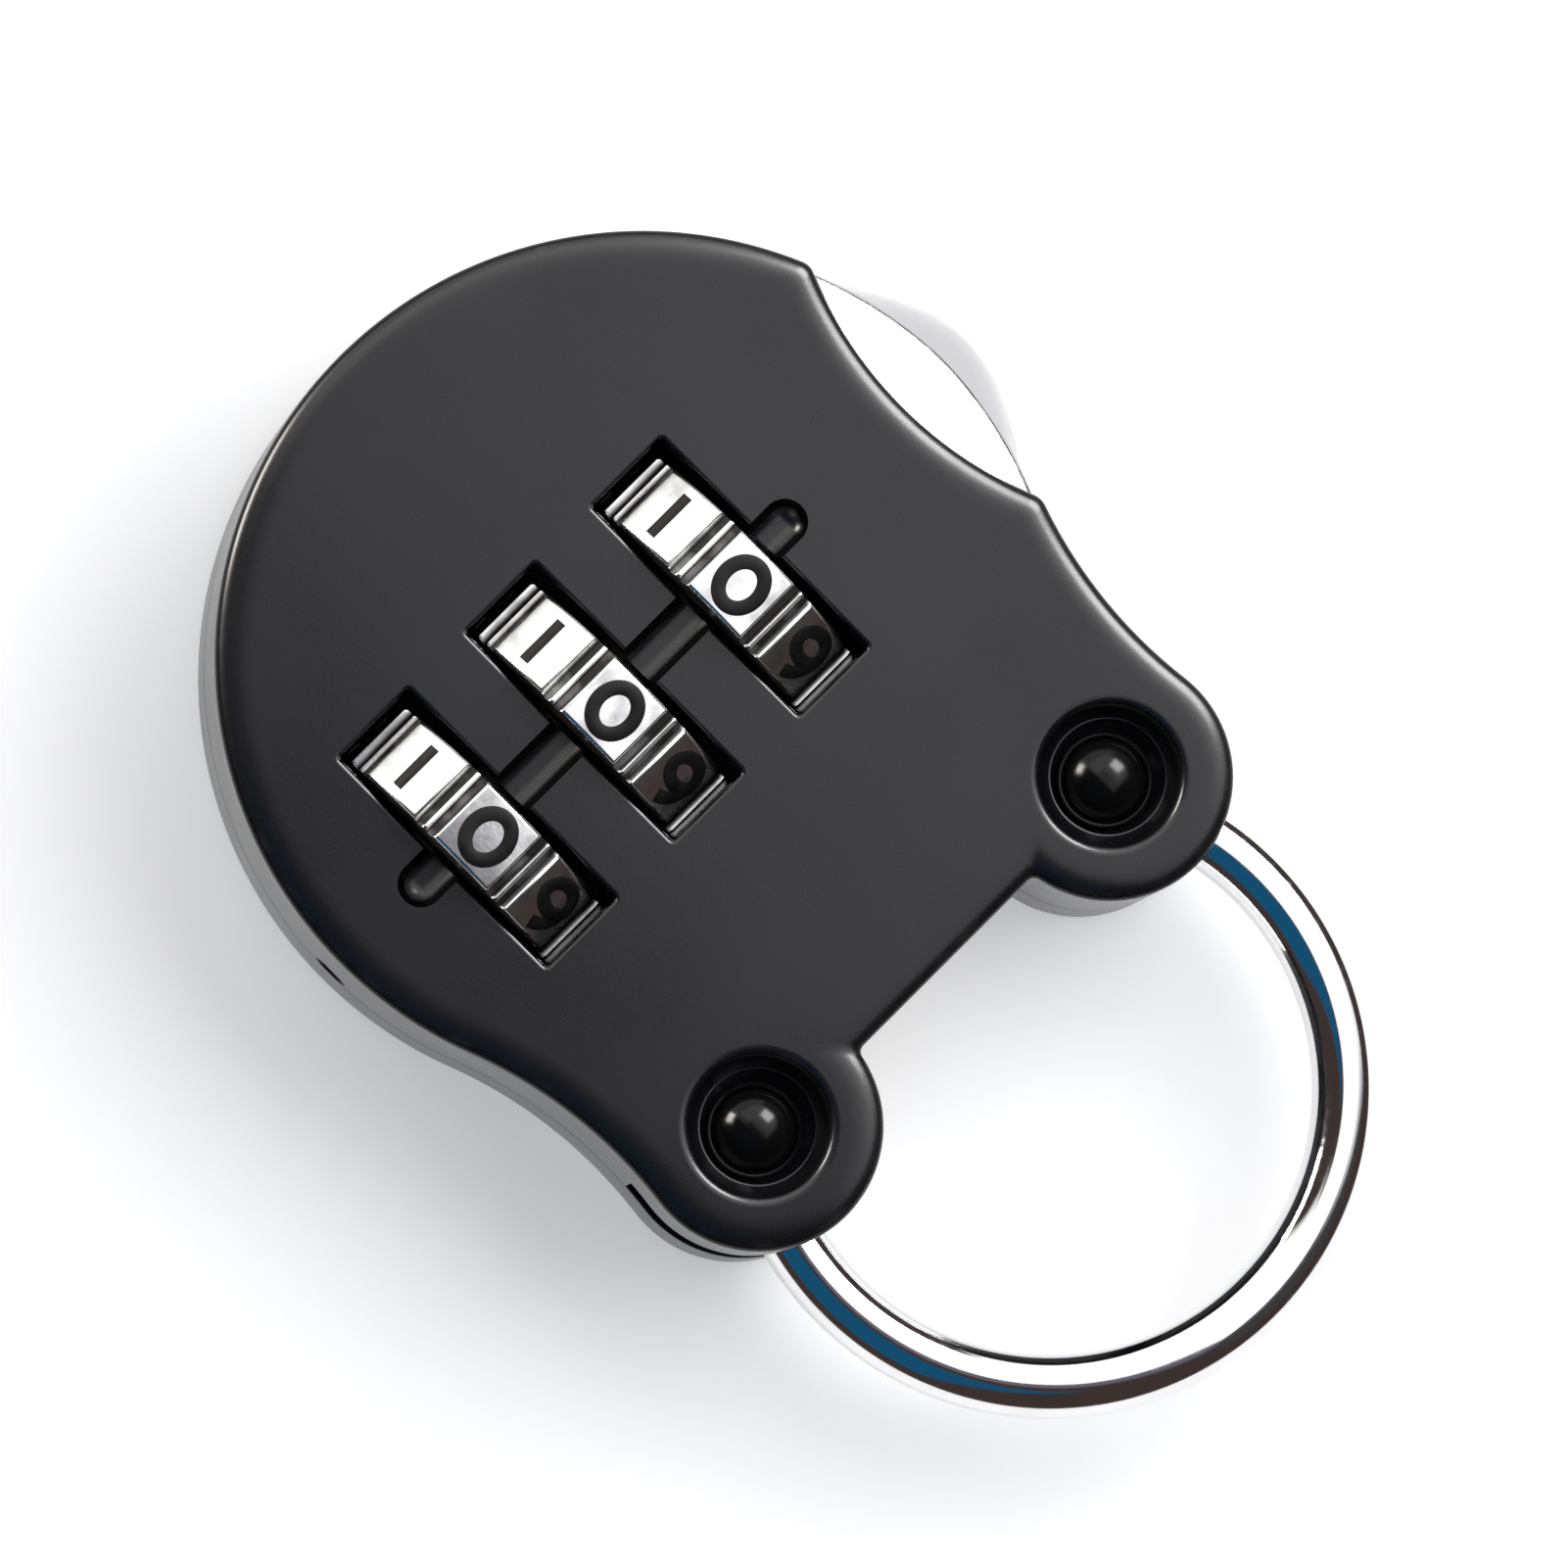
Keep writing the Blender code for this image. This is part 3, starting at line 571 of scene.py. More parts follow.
def make_screw(name, y, material):
    """A pan-head cross-recess screw, driven from the back."""
    profile = [
        (0.04, 0.14),
        (0.7, 0.15),
        (1.1, 0.18),
        (1.38, 0.25),
        (1.54, 0.36),
        (1.6, 0.5),
        (1.6, 1.27),
        (0.74, 1.27),
        (0.74, 8.9),
        (0.45, 9.3),
        (0.04, 9.3),
    ]
    screw = turned(name, (SCREW_X, y), profile, 48)
    recess = ((1.02, 0.22, -0.3), (0.98, 0.2, 0.12), (0.82, 0.16, 0.5), (0.3, 0.1, 0.92))
    for turned_by in (0.0, math.pi / 2):
        cos, sin = math.cos(turned_by), math.sin(turned_by)
        sections = []
        for half, wide, z in recess:
            outline = [(-half, -wide), (half, -wide), (half, wide), (-half, wide)]
            made = [(SCREW_X + x * cos - w * sin, y + x * sin + w * cos) for x, w in outline]
            sections.append((made, z))
        combine(screw, stack("cross", sections))
    return finish_piece(screw, name + "_fine", "case", material, name, 30.0)


def swept_ring(points, centre_z, radius, sides):
    """A round wire along a flat path, with its two ends rounded off."""
    built = bmesh.new()
    rings = []
    count = len(points)
    reach = 0.3

    def ring_at(point, along, scale, shift):
        across = Vector((along.y, -along.x, 0.0))
        made = []
        for k in range(sides):
            angle = math.tau * k / sides
            at = (
                Vector((point[0], point[1], centre_z))
                + across * radius * scale * math.cos(angle)
                + Vector((0.0, 0.0, radius * scale * math.sin(angle)))
                + along * shift
            )
            made.append(built.verts.new(at * MM))
        return made

    def heading(i):
        before = Vector(points[max(i - 1, 0)])
        after = Vector(points[min(i + 1, count - 1)])
        return (after - before).to_3d().normalized()

    ends = []
    for t in (0.0, 0.4, 0.8, 1.2):
        ends.append((1.0 - reach / radius * (1 - math.sin(t)), reach * (1 - math.cos(t))))
    first = heading(0)
    for scale, shift in ends:
        rings.append(ring_at(points[0], first, scale, shift))
    for i in range(count):
        if math.dist(points[i], points[0]) > reach and math.dist(points[i], points[-1]) > reach:
            rings.append(ring_at(points[i], heading(i), 1.0, 0.0))
    last = heading(count - 1)
    for scale, shift in reversed(ends):
        rings.append(ring_at(points[-1], last, scale, -shift))
    for one, two in zip(rings, rings[1:]):
        for k in range(sides):
            j = (k + 1) % sides
            built.faces.new((one[k], one[j], two[j], two[k]))
    built.faces.new(list(reversed(rings[0])))
    built.faces.new(rings[-1])
    return from_bmesh("ring", built)


def make_ring(material):
    """Round wire bent to a ring, with a flat pierced eye and a notched free end."""
    points = arc((RING_X, 0.0), RING_R, RING_START, RING_END, 150)
    ring = swept_ring(points, RING_Z, WIRE_R, 40)
    hinge = (LOBE_X, -LOBE_Y)
    eye = (
        (EYE_R - 0.12, EYE_Z[0]),
        (EYE_R - 0.03, EYE_Z[0] + 0.04),
        (EYE_R, EYE_Z[0] + 0.14),
        (EYE_R, EYE_Z[1] - 0.14),
        (EYE_R - 0.03, EYE_Z[1] - 0.04),
        (EYE_R - 0.12, EYE_Z[1]),
    )
    combine(ring, turned("eye", hinge, eye, 56), "UNION")
    combine(ring, turned("eye_above", hinge, ((EYE_R + 0.15, EYE_Z[1]), (EYE_R + 0.15, 9.0)), 56))
    combine(ring, turned("eye_below", hinge, ((EYE_R + 0.15, 4.0), (EYE_R + 0.15, EYE_Z[0])), 56))
    combine(ring, turned("eye_bore", hinge, ((HOLE_R, 4.0), (HOLE_R, 9.0)), 32))
    inner = arc((RING_X, 0.0), RING_R - WIRE_R - 1.0, *LATCH_NOTCH, 1)
    outer = arc((RING_X, 0.0), RING_R - WIRE_R + LATCH_NOTCH_DEPTH, *LATCH_NOTCH, 1)
    combine(ring, prism("latch_notch", inner + outer[::-1], 4.0, 9.0))
    return finish_piece(ring, "shackle_ring_fine", "shackle", material, "shackle_ring")


# Button


def button_section(bulge, shrink=0.0):
    """The button's plan: flat inside, the case's own curve outside, plus a bulge."""
    half = BUTTON_HALF_X - shrink
    outline = [(-half, 12.7 + shrink), (half, 12.7 + shrink)]
    for i in range(65):
        x = half * math.cos(math.pi * i / 64)
        rise = 1.0 - (abs(x) / half) ** 1.7
        outline.append((x, math.sqrt(BUTTON_EDGE_R**2 - x**2) - 0.25 - shrink + bulge * rise))
    return outline


def make_button(material):
    """A lens-shaped push button, swollen at mid height, on an inner flange and boss."""
    low, high = BUTTON_Z
    steps = 36
    sections = [(button_section(0.0, BUTTON_EASE), low)]
    for i in range(1, steps):
        t = -1.0 + 2.0 * i / steps
        z = (low + high) / 2 + (high - low) / 2 * math.sin(t * math.pi / 2)
        bulge = BUTTON_BULGE * (1.0 - math.sin(abs(t) * math.pi / 2) ** 2.2)
        edge = max(0.0, BUTTON_EASE - min(z - low, high - z)) ** 2 / BUTTON_EASE
        sections.append((button_section(bulge, edge), z))
    sections.append((button_section(0.0, BUTTON_EASE), high))
    button = stack("button", sections)
    across = (-FLANGE_HALF_X, FLANGE_HALF_X)
    combine(button, box("flange", across, FLANGE_Y, (low + 0.1, high - 0.1)), "UNION")
    combine(button, turned_y("boss", (0.0, AXIS_Z), ((2.0, 11.0), (2.0, 12.6)), 40), "UNION")
    combine(button, turned_y("spindle_seat", (0.0, AXIS_Z), ((1.24, 10.0), (1.24, 13.55)), 32))
    return finish_piece(
        button, "release_button_fine", "button", material, "release_button", 26.0
    )


# Number wheels and digits


def polar(radius, angle):
    """A point in the wheel's plane, with the angle taken from straight up."""
    return radius * math.sin(angle), AXIS_Z + radius * math.cos(angle)


# Half of a wheel's pitch, in degrees from a pad's middle to the ridge at 18.
PAD_END = 12.4
PAD_EASED = 13.4
GULLY_START = 14.4
GULLY_END = 16.6
RIDGE_START = 17.1
GULLY_DEPTH = 0.32
RIDGE_DEPTH = 0.1
GULLY_SIDE = 0.22


def wheel_depth(degrees):
    """How far the wheel's surface lies below its pads, at an angle from a pad's middle."""
    if degrees < PAD_END:
        return 0.0
    if degrees < PAD_EASED:
        t = degrees - PAD_END
        return RIDGE_DEPTH * t * t
    if degrees < GULLY_START:
        return RIDGE_DEPTH + GULLY_SIDE * (degrees - PAD_EASED)
    if degrees < GULLY_END:
        return GULLY_DEPTH
    if degrees < RIDGE_START:
        return GULLY_DEPTH - GULLY_SIDE * (degrees - GULLY_END) / 0.5
    return RIDGE_DEPTH - 0.03 * min(1.0, (degrees - RIDGE_START) / 0.3)


def wheel_outline(inset):
    """Ten pads, with a groove and a thin ridge between neighbours."""
    stops = [0.0, 3.0, 6.0, 9.0, 12.0, 12.6, 12.8, 13.0, 13.2, 13.4, 14.4, 15.5, 16.6, 17.1, 17.4]
    both = [(18.0, 1)]
    for stop in reversed(stops):
        both.append((stop, 1))
    for stop in stops[1:]:
        both.append((stop, -1))
    outline = []
    for k in range(DIGITS):
        for degrees, side in both:
            angle = WHEEL_TURN + math.radians(360.0 / DIGITS * k - degrees * side)
            radius = WHEEL_R - max(wheel_depth(degrees), inset)
            outline.append(polar(radius, angle))
    return outline


def toothed_outline(root, tip, share):
    """Ten square-sided teeth; share is the part of each pitch that the tooth fills."""
    outline = []
    pitch = math.tau / DIGITS
    for k in range(DIGITS):
        middle = pitch * k
        half = pitch * share / 2
        outline.append(polar(root, middle - pitch / 2))
        outline.append(polar(root, middle - half))
        outline.append(polar(tip, middle - half))
        outline.append(polar(tip, middle + half))
        outline.append(polar(root, middle + half))
    return outline


def make_wheel(number, y, material):
    """A number wheel with softened rims, clutch slots and a wider bore behind them."""
    half = WHEEL_WIDTH / 2
    rim = ((0.22, half), (0.1, half - 0.03), (0.03, half - 0.09), (0.0, half - 0.18))
    sections = [(wheel_outline(inset), y - at) for inset, at in rim]
    sections += [(wheel_outline(inset), y + at) for inset, at in reversed(rim)]
    wheel = stand(stack("wheel", sections))
    teeth = toothed_outline(CLUTCH_ROOT, CLUTCH_TIP, CLUTCH_SHARE)
    combine(wheel, stand(prism("slots", teeth, y - 3.0, y + 3.0)))
    room = ((CLUTCH_ROOM_R, y - 0.72), (CLUTCH_ROOM_R, y + 3.0))
    combine(wheel, turned_y("room", (0.0, AXIS_Z), room, 48))
    node = f"number_wheel_{number}"
    return finish_piece(wheel, node + "_fine", f"wheel_{number}", material, node, 38.0)


# Each digit is drawn in a box from (-1, -1) to (1, 1) as arcs and straight strokes:
# an arc is (centre x, centre y, radius x, radius y, start, end) in degrees.
DIGIT_STROKES = {
    0: [("arc", 0.0, 0.0, 0.78, 0.79, 0, 360)],
    1: [("line", 0.0, -0.84, 0.0, 0.84)],
    2: [("arc", 0.0, 0.34, 0.72, 0.46, 170, -38), ("line", 0.5, 0.02, -0.68, -0.8),
        ("line", -0.86, -0.8, 0.86, -0.8)],
    3: [("arc", -0.06, 0.4, 0.66, 0.4, 150, -90), ("arc", -0.06, -0.4, 0.74, 0.4, 90, -150)],
    4: [("line", 0.34, -1.0, 0.34, 0.98), ("line", 0.26, 0.86, -0.72, -0.34),
        ("line", -0.9, -0.4, 0.84, -0.4)],
    5: [("line", 0.72, 0.8, -0.56, 0.8), ("line", -0.56, 0.9, -0.62, 0.02),
        ("arc", -0.04, -0.3, 0.72, 0.48, 130, -150)],
    6: [("arc", 0.04, -0.3, 0.72, 0.5, 0, 360), ("arc", 0.5, -0.3, 1.18, 1.14, 180, 100)],
    7: [("line", -0.78, 0.8, 0.8, 0.8), ("line", 0.62, 0.76, -0.22, -1.0)],
    8: [("arc", 0.0, 0.42, 0.56, 0.38, 0, 360), ("arc", 0.0, -0.38, 0.72, 0.42, 0, 360)],
    9: [("arc", -0.04, 0.3, 0.72, 0.5, 0, 360), ("arc", -0.5, 0.3, 1.18, 1.14, 0, -80)],
}
DIGIT_HALF_X = 1.1
DIGIT_HALF_Y = 1.3
STROKE_HALF = 0.31
THIN_STROKE_HALF = 0.24

# The paint's cross-section: (share of the half width, height over the pad).
PAINT_SECTION = (
    (-1.0, -0.06),
    (-1.0, 0.008),
    (-0.9, 0.022),
    (0.9, 0.022),
    (1.0, 0.008),
    (1.0, -0.06),
)


def stroke_path(stroke):
    """One stroke as points in millimetres on the unrolled wheel."""
    made = []
    if stroke[0] == "arc":
        _, cx, cy, rx, ry, start, end = stroke
        count = max(8, int(abs(end - start) / 9))
        for i in range(count + 1):
            angle = math.radians(start + (end - start) * i / count)
            made.append(((cx + rx * math.cos(angle)), (cy + ry * math.sin(angle))))
    else:
        _, x0, y0, x1, y1 = stroke
        for i in range(7):
            made.append((x0 + (x1 - x0) * i / 6, y0 + (y1 - y0) * i / 6))
    return [Vector((x * DIGIT_HALF_X, y * DIGIT_HALF_Y)) for x, y in made]


def add_stroke(built, path, closed, wheel_y, angle, half_width):
    """A flat painted stroke laid on the wheel, with thin bevelled edges."""
    count = len(path)
    rows = []
    for i, point in enumerate(path):
        if closed:
            before, after = path[(i - 1) % (count - 1)], path[(i + 1) % (count - 1)]
        else:
            before, after = path[max(i - 1, 0)], path[min(i + 1, count - 1)]
        along = (after - before).normalized()
        across = Vector((-along.y, along.x))
        row = []
        for side, height in PAINT_SECTION:
            flat = point + across * half_width * side
            x, z = polar(WHEEL_R + height, angle + flat.x / WHEEL_R)
            row.append(built.verts.new((x * MM, (wheel_y + flat.y) * MM, z * MM)))
        rows.append(row)
    if closed:
        for vert in rows[-1]:
            built.verts.remove(vert)
        rows[-1] = rows[0]
    for one, two in zip(rows, rows[1:]):
        for k in range(len(one)):
            j = (k + 1) % len(one)
            built.faces.new((one[k], one[j], two[j], two[k]))
    if not closed:
        built.faces.new(list(reversed(rows[0])))
        built.faces.new(rows[-1])


def make_digits(number, y, material):
    """The ten painted digits of one wheel, tops towards the button."""
    built = bmesh.new()
    for digit, strokes in DIGIT_STROKES.items():
        angle = WHEEL_TURN - math.radians(360.0 / DIGITS * digit)
        for stroke in strokes:
            closed = stroke[0] == "arc" and abs(stroke[6] - stroke[5]) == 360
            half_width = THIN_STROKE_HALF if digit == 1 else STROKE_HALF
            add_stroke(built, stroke_path(stroke), closed, y, angle, half_width)
    digits = from_bmesh("digits", built)
    body = f"wheel_{number}"
    return finish_piece(digits, body + "_digits", body, material, sharp=40.0)


def make_reset_pin(material):
    """A thin stepped pin with a coned tip behind the hole in the case wall."""
    profile = (
        (0.2, -17.15),
        (0.48, -17.1),
        (0.55, -16.98),
        (0.55, -16.22),
        (0.8, -16.22),
        (0.8, -15.94),
        (0.55, -15.94),
        (0.55, -13.47),
    )
    pin = turned_y("reset_pin", (0.0, RESET_Z), profile, 32)
    return finish_piece(pin, "reset_pin_fine", "reset", material, "reset_pin", 35.0)


def make_spring(name, ends, radius, wire, turns, material):
    """A coil spring round the wheel axis."""
    built = bmesh.new()
    sides = 10
    steps_a_turn = 32
    count = int(turns * steps_a_turn)
    low, high = ends
    rise = (high - low) / (math.tau * turns)
    rings = []
    for i in range(count + 1):
        angle = math.tau * turns * i / count
        outward = Vector((math.cos(angle), 0.0, math.sin(angle)))
        along = Vector((-radius * math.sin(angle), rise, radius * math.cos(angle))).normalized()
        across = along.cross(outward)
        middle = outward * radius + Vector((0.0, low + rise * angle, AXIS_Z))
        ring = []
        for k in range(sides):
            turn = math.tau * k / sides
            point = middle + (outward * math.cos(turn) + across * math.sin(turn)) * wire
            ring.append(built.verts.new(point * MM))
        rings.append(ring)
    for first, second in zip(rings, rings[1:]):
        for k in range(sides):
            n = (k + 1) % sides
            built.faces.new((first[k], first[n], second[n], second[k]))
    built.faces.new(rings[0])
    built.faces.new(rings[-1][::-1])
    spring = from_bmesh(name, built)
    finish_piece(spring, name + "_fine", "case", material, name)
    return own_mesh(spring)


# Materials


def blank(name):
    """A new material, its nodes and its shader."""
    made = bpy.data.materials.new(name)
    made.use_nodes = True
    return made, made.node_tree, made.node_tree.nodes["Principled BSDF"]


def noise(tree, place_at, scale, detail=2.0, stretch=None):
    """Noise in the piece's own space; scale is in features per metre."""
    source = place_at.outputs["Object"]
    if stretch:
        mapping = tree.nodes.new("ShaderNodeMapping")
        mapping.inputs["Scale"].default_value = stretch
        tree.links.new(source, mapping.inputs["Vector"])
        source = mapping.outputs["Vector"]
    made = tree.nodes.new("ShaderNodeTexNoise")
    made.inputs["Scale"].default_value = scale
    made.inputs["Detail"].default_value = detail
    tree.links.new(source, made.inputs["Vector"])
    return made.outputs["Fac"]


def remap(tree, value, low, high, to_low, to_high):
    """Map a range of values onto another, held at both ends."""
    made = tree.nodes.new("ShaderNodeMapRange")
    limits = {"From Min": low, "From Max": high, "To Min": to_low, "To Max": to_high}
    for name, amount in limits.items():
        made.inputs[name].default_value = amount
    tree.links.new(value, made.inputs["Value"])
    return made.outputs["Result"]


def maths(tree, operation, first, second):
    """One sum on two values; each is a number, a socket or None."""
    made = tree.nodes.new("ShaderNodeMath")
    made.operation = operation
    for i, value in enumerate((first, second)):
        if isinstance(value, float):
            made.inputs[i].default_value = value
        elif value is not None:
            tree.links.new(value, made.inputs[i])
    return made.outputs["Value"]


def blend_colour(tree, factor, first, second):
    """Mix two colours; each is a tuple or a socket."""
    made = tree.nodes.new("ShaderNodeMix")
    made.data_type = "RGBA"
    tree.links.new(factor, made.inputs["Factor"])
    for key, value in (("A", first), ("B", second)):
        socket = [s for s in made.inputs if s.name == key and s.type == "RGBA"][0]
        if isinstance(value, tuple):
            socket.default_value = (*value, 1.0)
        else:
            tree.links.new(value, socket)
    return [s for s in made.outputs if s.type == "RGBA"][0]


def bump(tree, shader, heights):
    """Chain bumps: each is (height, strength, distance in millimetres)."""
    normal = None
    for height, strength, distance in heights:
        made = tree.nodes.new("ShaderNodeBump")
        made.inputs["Strength"].default_value = strength
        made.inputs["Distance"].default_value = distance * MM
        tree.links.new(height, made.inputs["Height"])
        if normal:
            tree.links.new(normal, made.inputs["Normal"])
        normal = made.outputs["Normal"]
    tree.links.new(normal, shader.inputs["Normal"])


def black_enamel():
    """Satin stoved enamel: faint orange peel, soft sheen changes, rubbed edges, and a
    near-black line of painted shade, dark in colour and in reflection, where the edge turns down,
    except in the dishes round the rivets."""
    made, tree, shader = blank("black_enamel_look")
    at = tree.nodes.new("ShaderNodeTexCoord")
    apart = tree.nodes.new("ShaderNodeSeparateXYZ")
    tree.links.new(at.outputs["Normal"], apart.inputs["Vector"])
    up = maths(tree, "ABSOLUTE", apart.outputs["Z"], None)
    rise = remap(tree, up, 0.3, 0.62, 0.0, 1.0)
    fall = remap(tree, up, 0.8, 0.97, 1.0, 0.0)
    edge = maths(tree, "MULTIPLY", rise, fall)
    cloud = noise(tree, at, 140.0, 3.0)
    patch = noise(tree, at, 620.0, 4.0)
    peel = noise(tree, at, 4200.0, 2.0)
    grain = noise(tree, at, 16000.0, 1.0)
    rub = remap(tree, patch, 0.52, 0.7, 0.0, 1.0)
    worn = maths(tree, "MULTIPLY", edge, rub)
    worn = maths(tree, "MULTIPLY", worn, 0.55)
    tone = blend_colour(tree, cloud, (0.0045, 0.0042, 0.006), (0.0068, 0.0064, 0.0088))
    colour = blend_colour(tree, worn, tone, (0.05, 0.05, 0.052))
    # Painted shade: where the edge turns steeply down, near-black colour and a metallic finish
    # that mirrors almost nothing.
    painted_edge_shade = maths(
        tree,
        "MULTIPLY",
        remap(tree, up, 0.1, 0.25, 0.0, 1.0),
        remap(tree, up, 0.72, 0.84, 1.0, 0.0),
    )
    spot = tree.nodes.new("ShaderNodeSeparateXYZ")
    tree.links.new(at.outputs["Object"], spot.inputs["Vector"])
    along = maths(tree, "SUBTRACT", spot.outputs["X"], LOBE_X * MM)
    from_middle = maths(tree, "ABSOLUTE", spot.outputs["Y"], None)
    across = maths(tree, "SUBTRACT", from_middle, LOBE_Y * MM)
    squares = [maths(tree, "POWER", value, 2.0) for value in (along, across)]
    from_rivet = maths(tree, "SQRT", maths(tree, "ADD", *squares), None)
    outside = remap(tree, from_rivet, 2.5 * MM, 3.6 * MM, 0.0, 1.0)
    painted_edge_shade = maths(tree, "MULTIPLY", painted_edge_shade, outside)
    colour = blend_colour(tree, painted_edge_shade, colour, (0.003, 0.003, 0.003))
    tree.links.new(colour, shader.inputs["Base Color"])
    tree.links.new(maths(tree, "MULTIPLY", painted_edge_shade, 0.85), shader.inputs["Metallic"])
    rough = remap(tree, cloud, 0.3, 0.7, 0.26, 0.32)
    speck = remap(tree, grain, 0.35, 0.65, -0.02, 0.03)
    rough = maths(tree, "ADD", rough, speck)
    tree.links.new(rough, shader.inputs["Roughness"])
    shader.inputs["Specular IOR Level"].default_value = 0.4
    shader.inputs["Coat Weight"].default_value = 0.15
    shader.inputs["Coat Roughness"].default_value = 0.18
    bump(tree, shader, ((peel, 0.16, 0.012), (grain, 0.12, 0.004)))
    return made


def rivet_black():
    """Glossy black plating, a touch uneven."""
    made, tree, shader = blank("rivet_black_look")
    at = tree.nodes.new("ShaderNodeTexCoord")
    cloud = noise(tree, at, 900.0, 3.0)
    fine = noise(tree, at, 9000.0, 2.0)
    colour = blend_colour(tree, cloud, (0.002, 0.002, 0.0022), (0.005, 0.005, 0.0055))
    tree.links.new(colour, shader.inputs["Base Color"])
    tree.links.new(remap(tree, cloud, 0.3, 0.7, 0.14, 0.22), shader.inputs["Roughness"])
    shader.inputs["Specular IOR Level"].default_value = 0.2
    bump(tree, shader, ((fine, 0.12, 0.004),))
    return made


def polished(name, bright, dull, rough_low, rough_high, scratch=0.05):
    """Plated or polished metal with faint hazy patches and hairline scratches."""
    made, tree, shader = blank(name)
    at = tree.nodes.new("ShaderNodeTexCoord")
    haze = noise(tree, at, 420.0, 4.0)
    fine = noise(tree, at, 2600.0, 3.0)
    hair = noise(tree, at, 9000.0, 2.0, (1.0, 0.06, 0.35))
    tone = remap(tree, haze, 0.35, 0.75, 0.0, 1.0)
    tree.links.new(blend_colour(tree, tone, bright, dull), shader.inputs["Base Color"])
    shader.inputs["Metallic"].default_value = 1.0
    rough = remap(tree, haze, 0.3, 0.75, rough_low, rough_high)
    grit = remap(tree, fine, 0.45, 0.7, 0.0, 0.05)
    tree.links.new(maths(tree, "ADD", rough, grit), shader.inputs["Roughness"])
    bump(tree, shader, ((hair, scratch, 0.004), (fine, 0.05, 0.004)))
    return made


def paint_side_shade(material, shaded_side_colour):
    """Paint shade on a plated part: a duller colour wherever its surface turns away from the top.
    """
    tree = material.node_tree
    shader = tree.nodes["Principled BSDF"]
    at = tree.nodes.new("ShaderNodeTexCoord")
    apart = tree.nodes.new("ShaderNodeSeparateXYZ")
    tree.links.new(at.outputs["Normal"], apart.inputs["Vector"])
    # Painted shade: the steeper the surface, the more of the shaded side colour.
    side = remap(tree, apart.outputs["Z"], 0.72, 0.92, 1.0, 0.0)
    top_colour = shader.inputs["Base Color"].links[0].from_socket
    tree.links.new(blend_colour(tree, side, top_colour, shaded_side_colour), shader.inputs["Base Color"])


def wheel_chrome():
    """Plated wheel, darker and rougher in the grooves between its pads."""
    made, tree, shader = blank("wheel_chrome_look")
    at = tree.nodes.new("ShaderNodeTexCoord")
    apart = tree.nodes.new("ShaderNodeSeparateXYZ")
    tree.links.new(at.outputs["Object"], apart.inputs["Vector"])
    across = maths(tree, "POWER", apart.outputs["X"], 2.0)
    level = maths(tree, "SUBTRACT", apart.outputs["Z"], AXIS_Z * MM)
    level = maths(tree, "POWER", level, 2.0)
    radius = maths(tree, "SQRT", maths(tree, "ADD", across, level), None)
    # Darker and rougher wherever the surface lies below the pads, in the grooves.
    deep = remap(tree, radius, (WHEEL_R - 0.3) * MM, (WHEEL_R - 0.06) * MM, 1.0, 0.0)
    haze = noise(tree, at, 700.0, 4.0)
    fine = noise(tree, at, 5200.0, 3.0)
    groove_dark = maths(tree, "MULTIPLY", deep, remap(tree, haze, 0.2, 0.55, 0.75, 1.0))
    smear = remap(tree, haze, 0.46, 0.72, 0.0, 1.0)
    plated_tone = blend_colour(tree, smear, (0.88, 0.88, 0.875), (0.5, 0.5, 0.5))
    colour = blend_colour(tree, groove_dark, plated_tone, (0.03, 0.028, 0.027))
    tree.links.new(colour, shader.inputs["Base Color"])
    shader.inputs["Metallic"].default_value = 1.0
    rough = remap(tree, haze, 0.3, 0.7, 0.12, 0.2)
    rough = maths(tree, "ADD", rough, maths(tree, "MULTIPLY", groove_dark, 0.3))
    tree.links.new(rough, shader.inputs["Roughness"])
    bump(tree, shader, ((haze, 0.3, 0.03), (fine, 0.14, 0.006)))
    return made


def digit_paint():
    """Thick black paint, a little uneven and slightly glossy."""
    made, tree, shader = blank("digit_paint_look")
    at = tree.nodes.new("ShaderNodeTexCoord")
    cloud = noise(tree, at, 1800.0, 3.0)
    colour = blend_colour(tree, cloud, (0.002, 0.002, 0.002), (0.005, 0.0045, 0.0045))
    tree.links.new(colour, shader.inputs["Base Color"])
    tree.links.new(remap(tree, cloud, 0.3, 0.7, 0.4, 0.6), shader.inputs["Roughness"])
    shader.inputs["Specular IOR Level"].default_value = 0.2
    bump(tree, shader, ((cloud, 0.2, 0.01),))
    return made


def floor_white():
    """A matt white sweep with a slight glow of its own and a barely visible tooth."""
    made, tree, shader = blank("floor_white")
    at = tree.nodes.new("ShaderNodeTexCoord")
    tooth = noise(tree, at, 900.0, 2.0)
    colour = blend_colour(tree, tooth, (0.9, 0.9, 0.905), (0.93, 0.93, 0.935))
    tree.links.new(colour, shader.inputs["Base Color"])
    shader.inputs["Roughness"].default_value = 0.75
    shader.inputs["Specular IOR Level"].default_value = 0.2
    shader.inputs["Emission Color"].default_value = (1.0, 1.0, 1.0, 1.0)
    shader.inputs["Emission Strength"].default_value = 0.45
    return made


ENAMEL = black_enamel()
RIVET = rivet_black()
CHROME = polished("chrome_look", (0.88, 0.88, 0.885), (0.8, 0.8, 0.81), 0.04, 0.09)
BUTTON = polished("button_look", (0.83, 0.83, 0.84), (0.76, 0.76, 0.77), 0.16, 0.24)
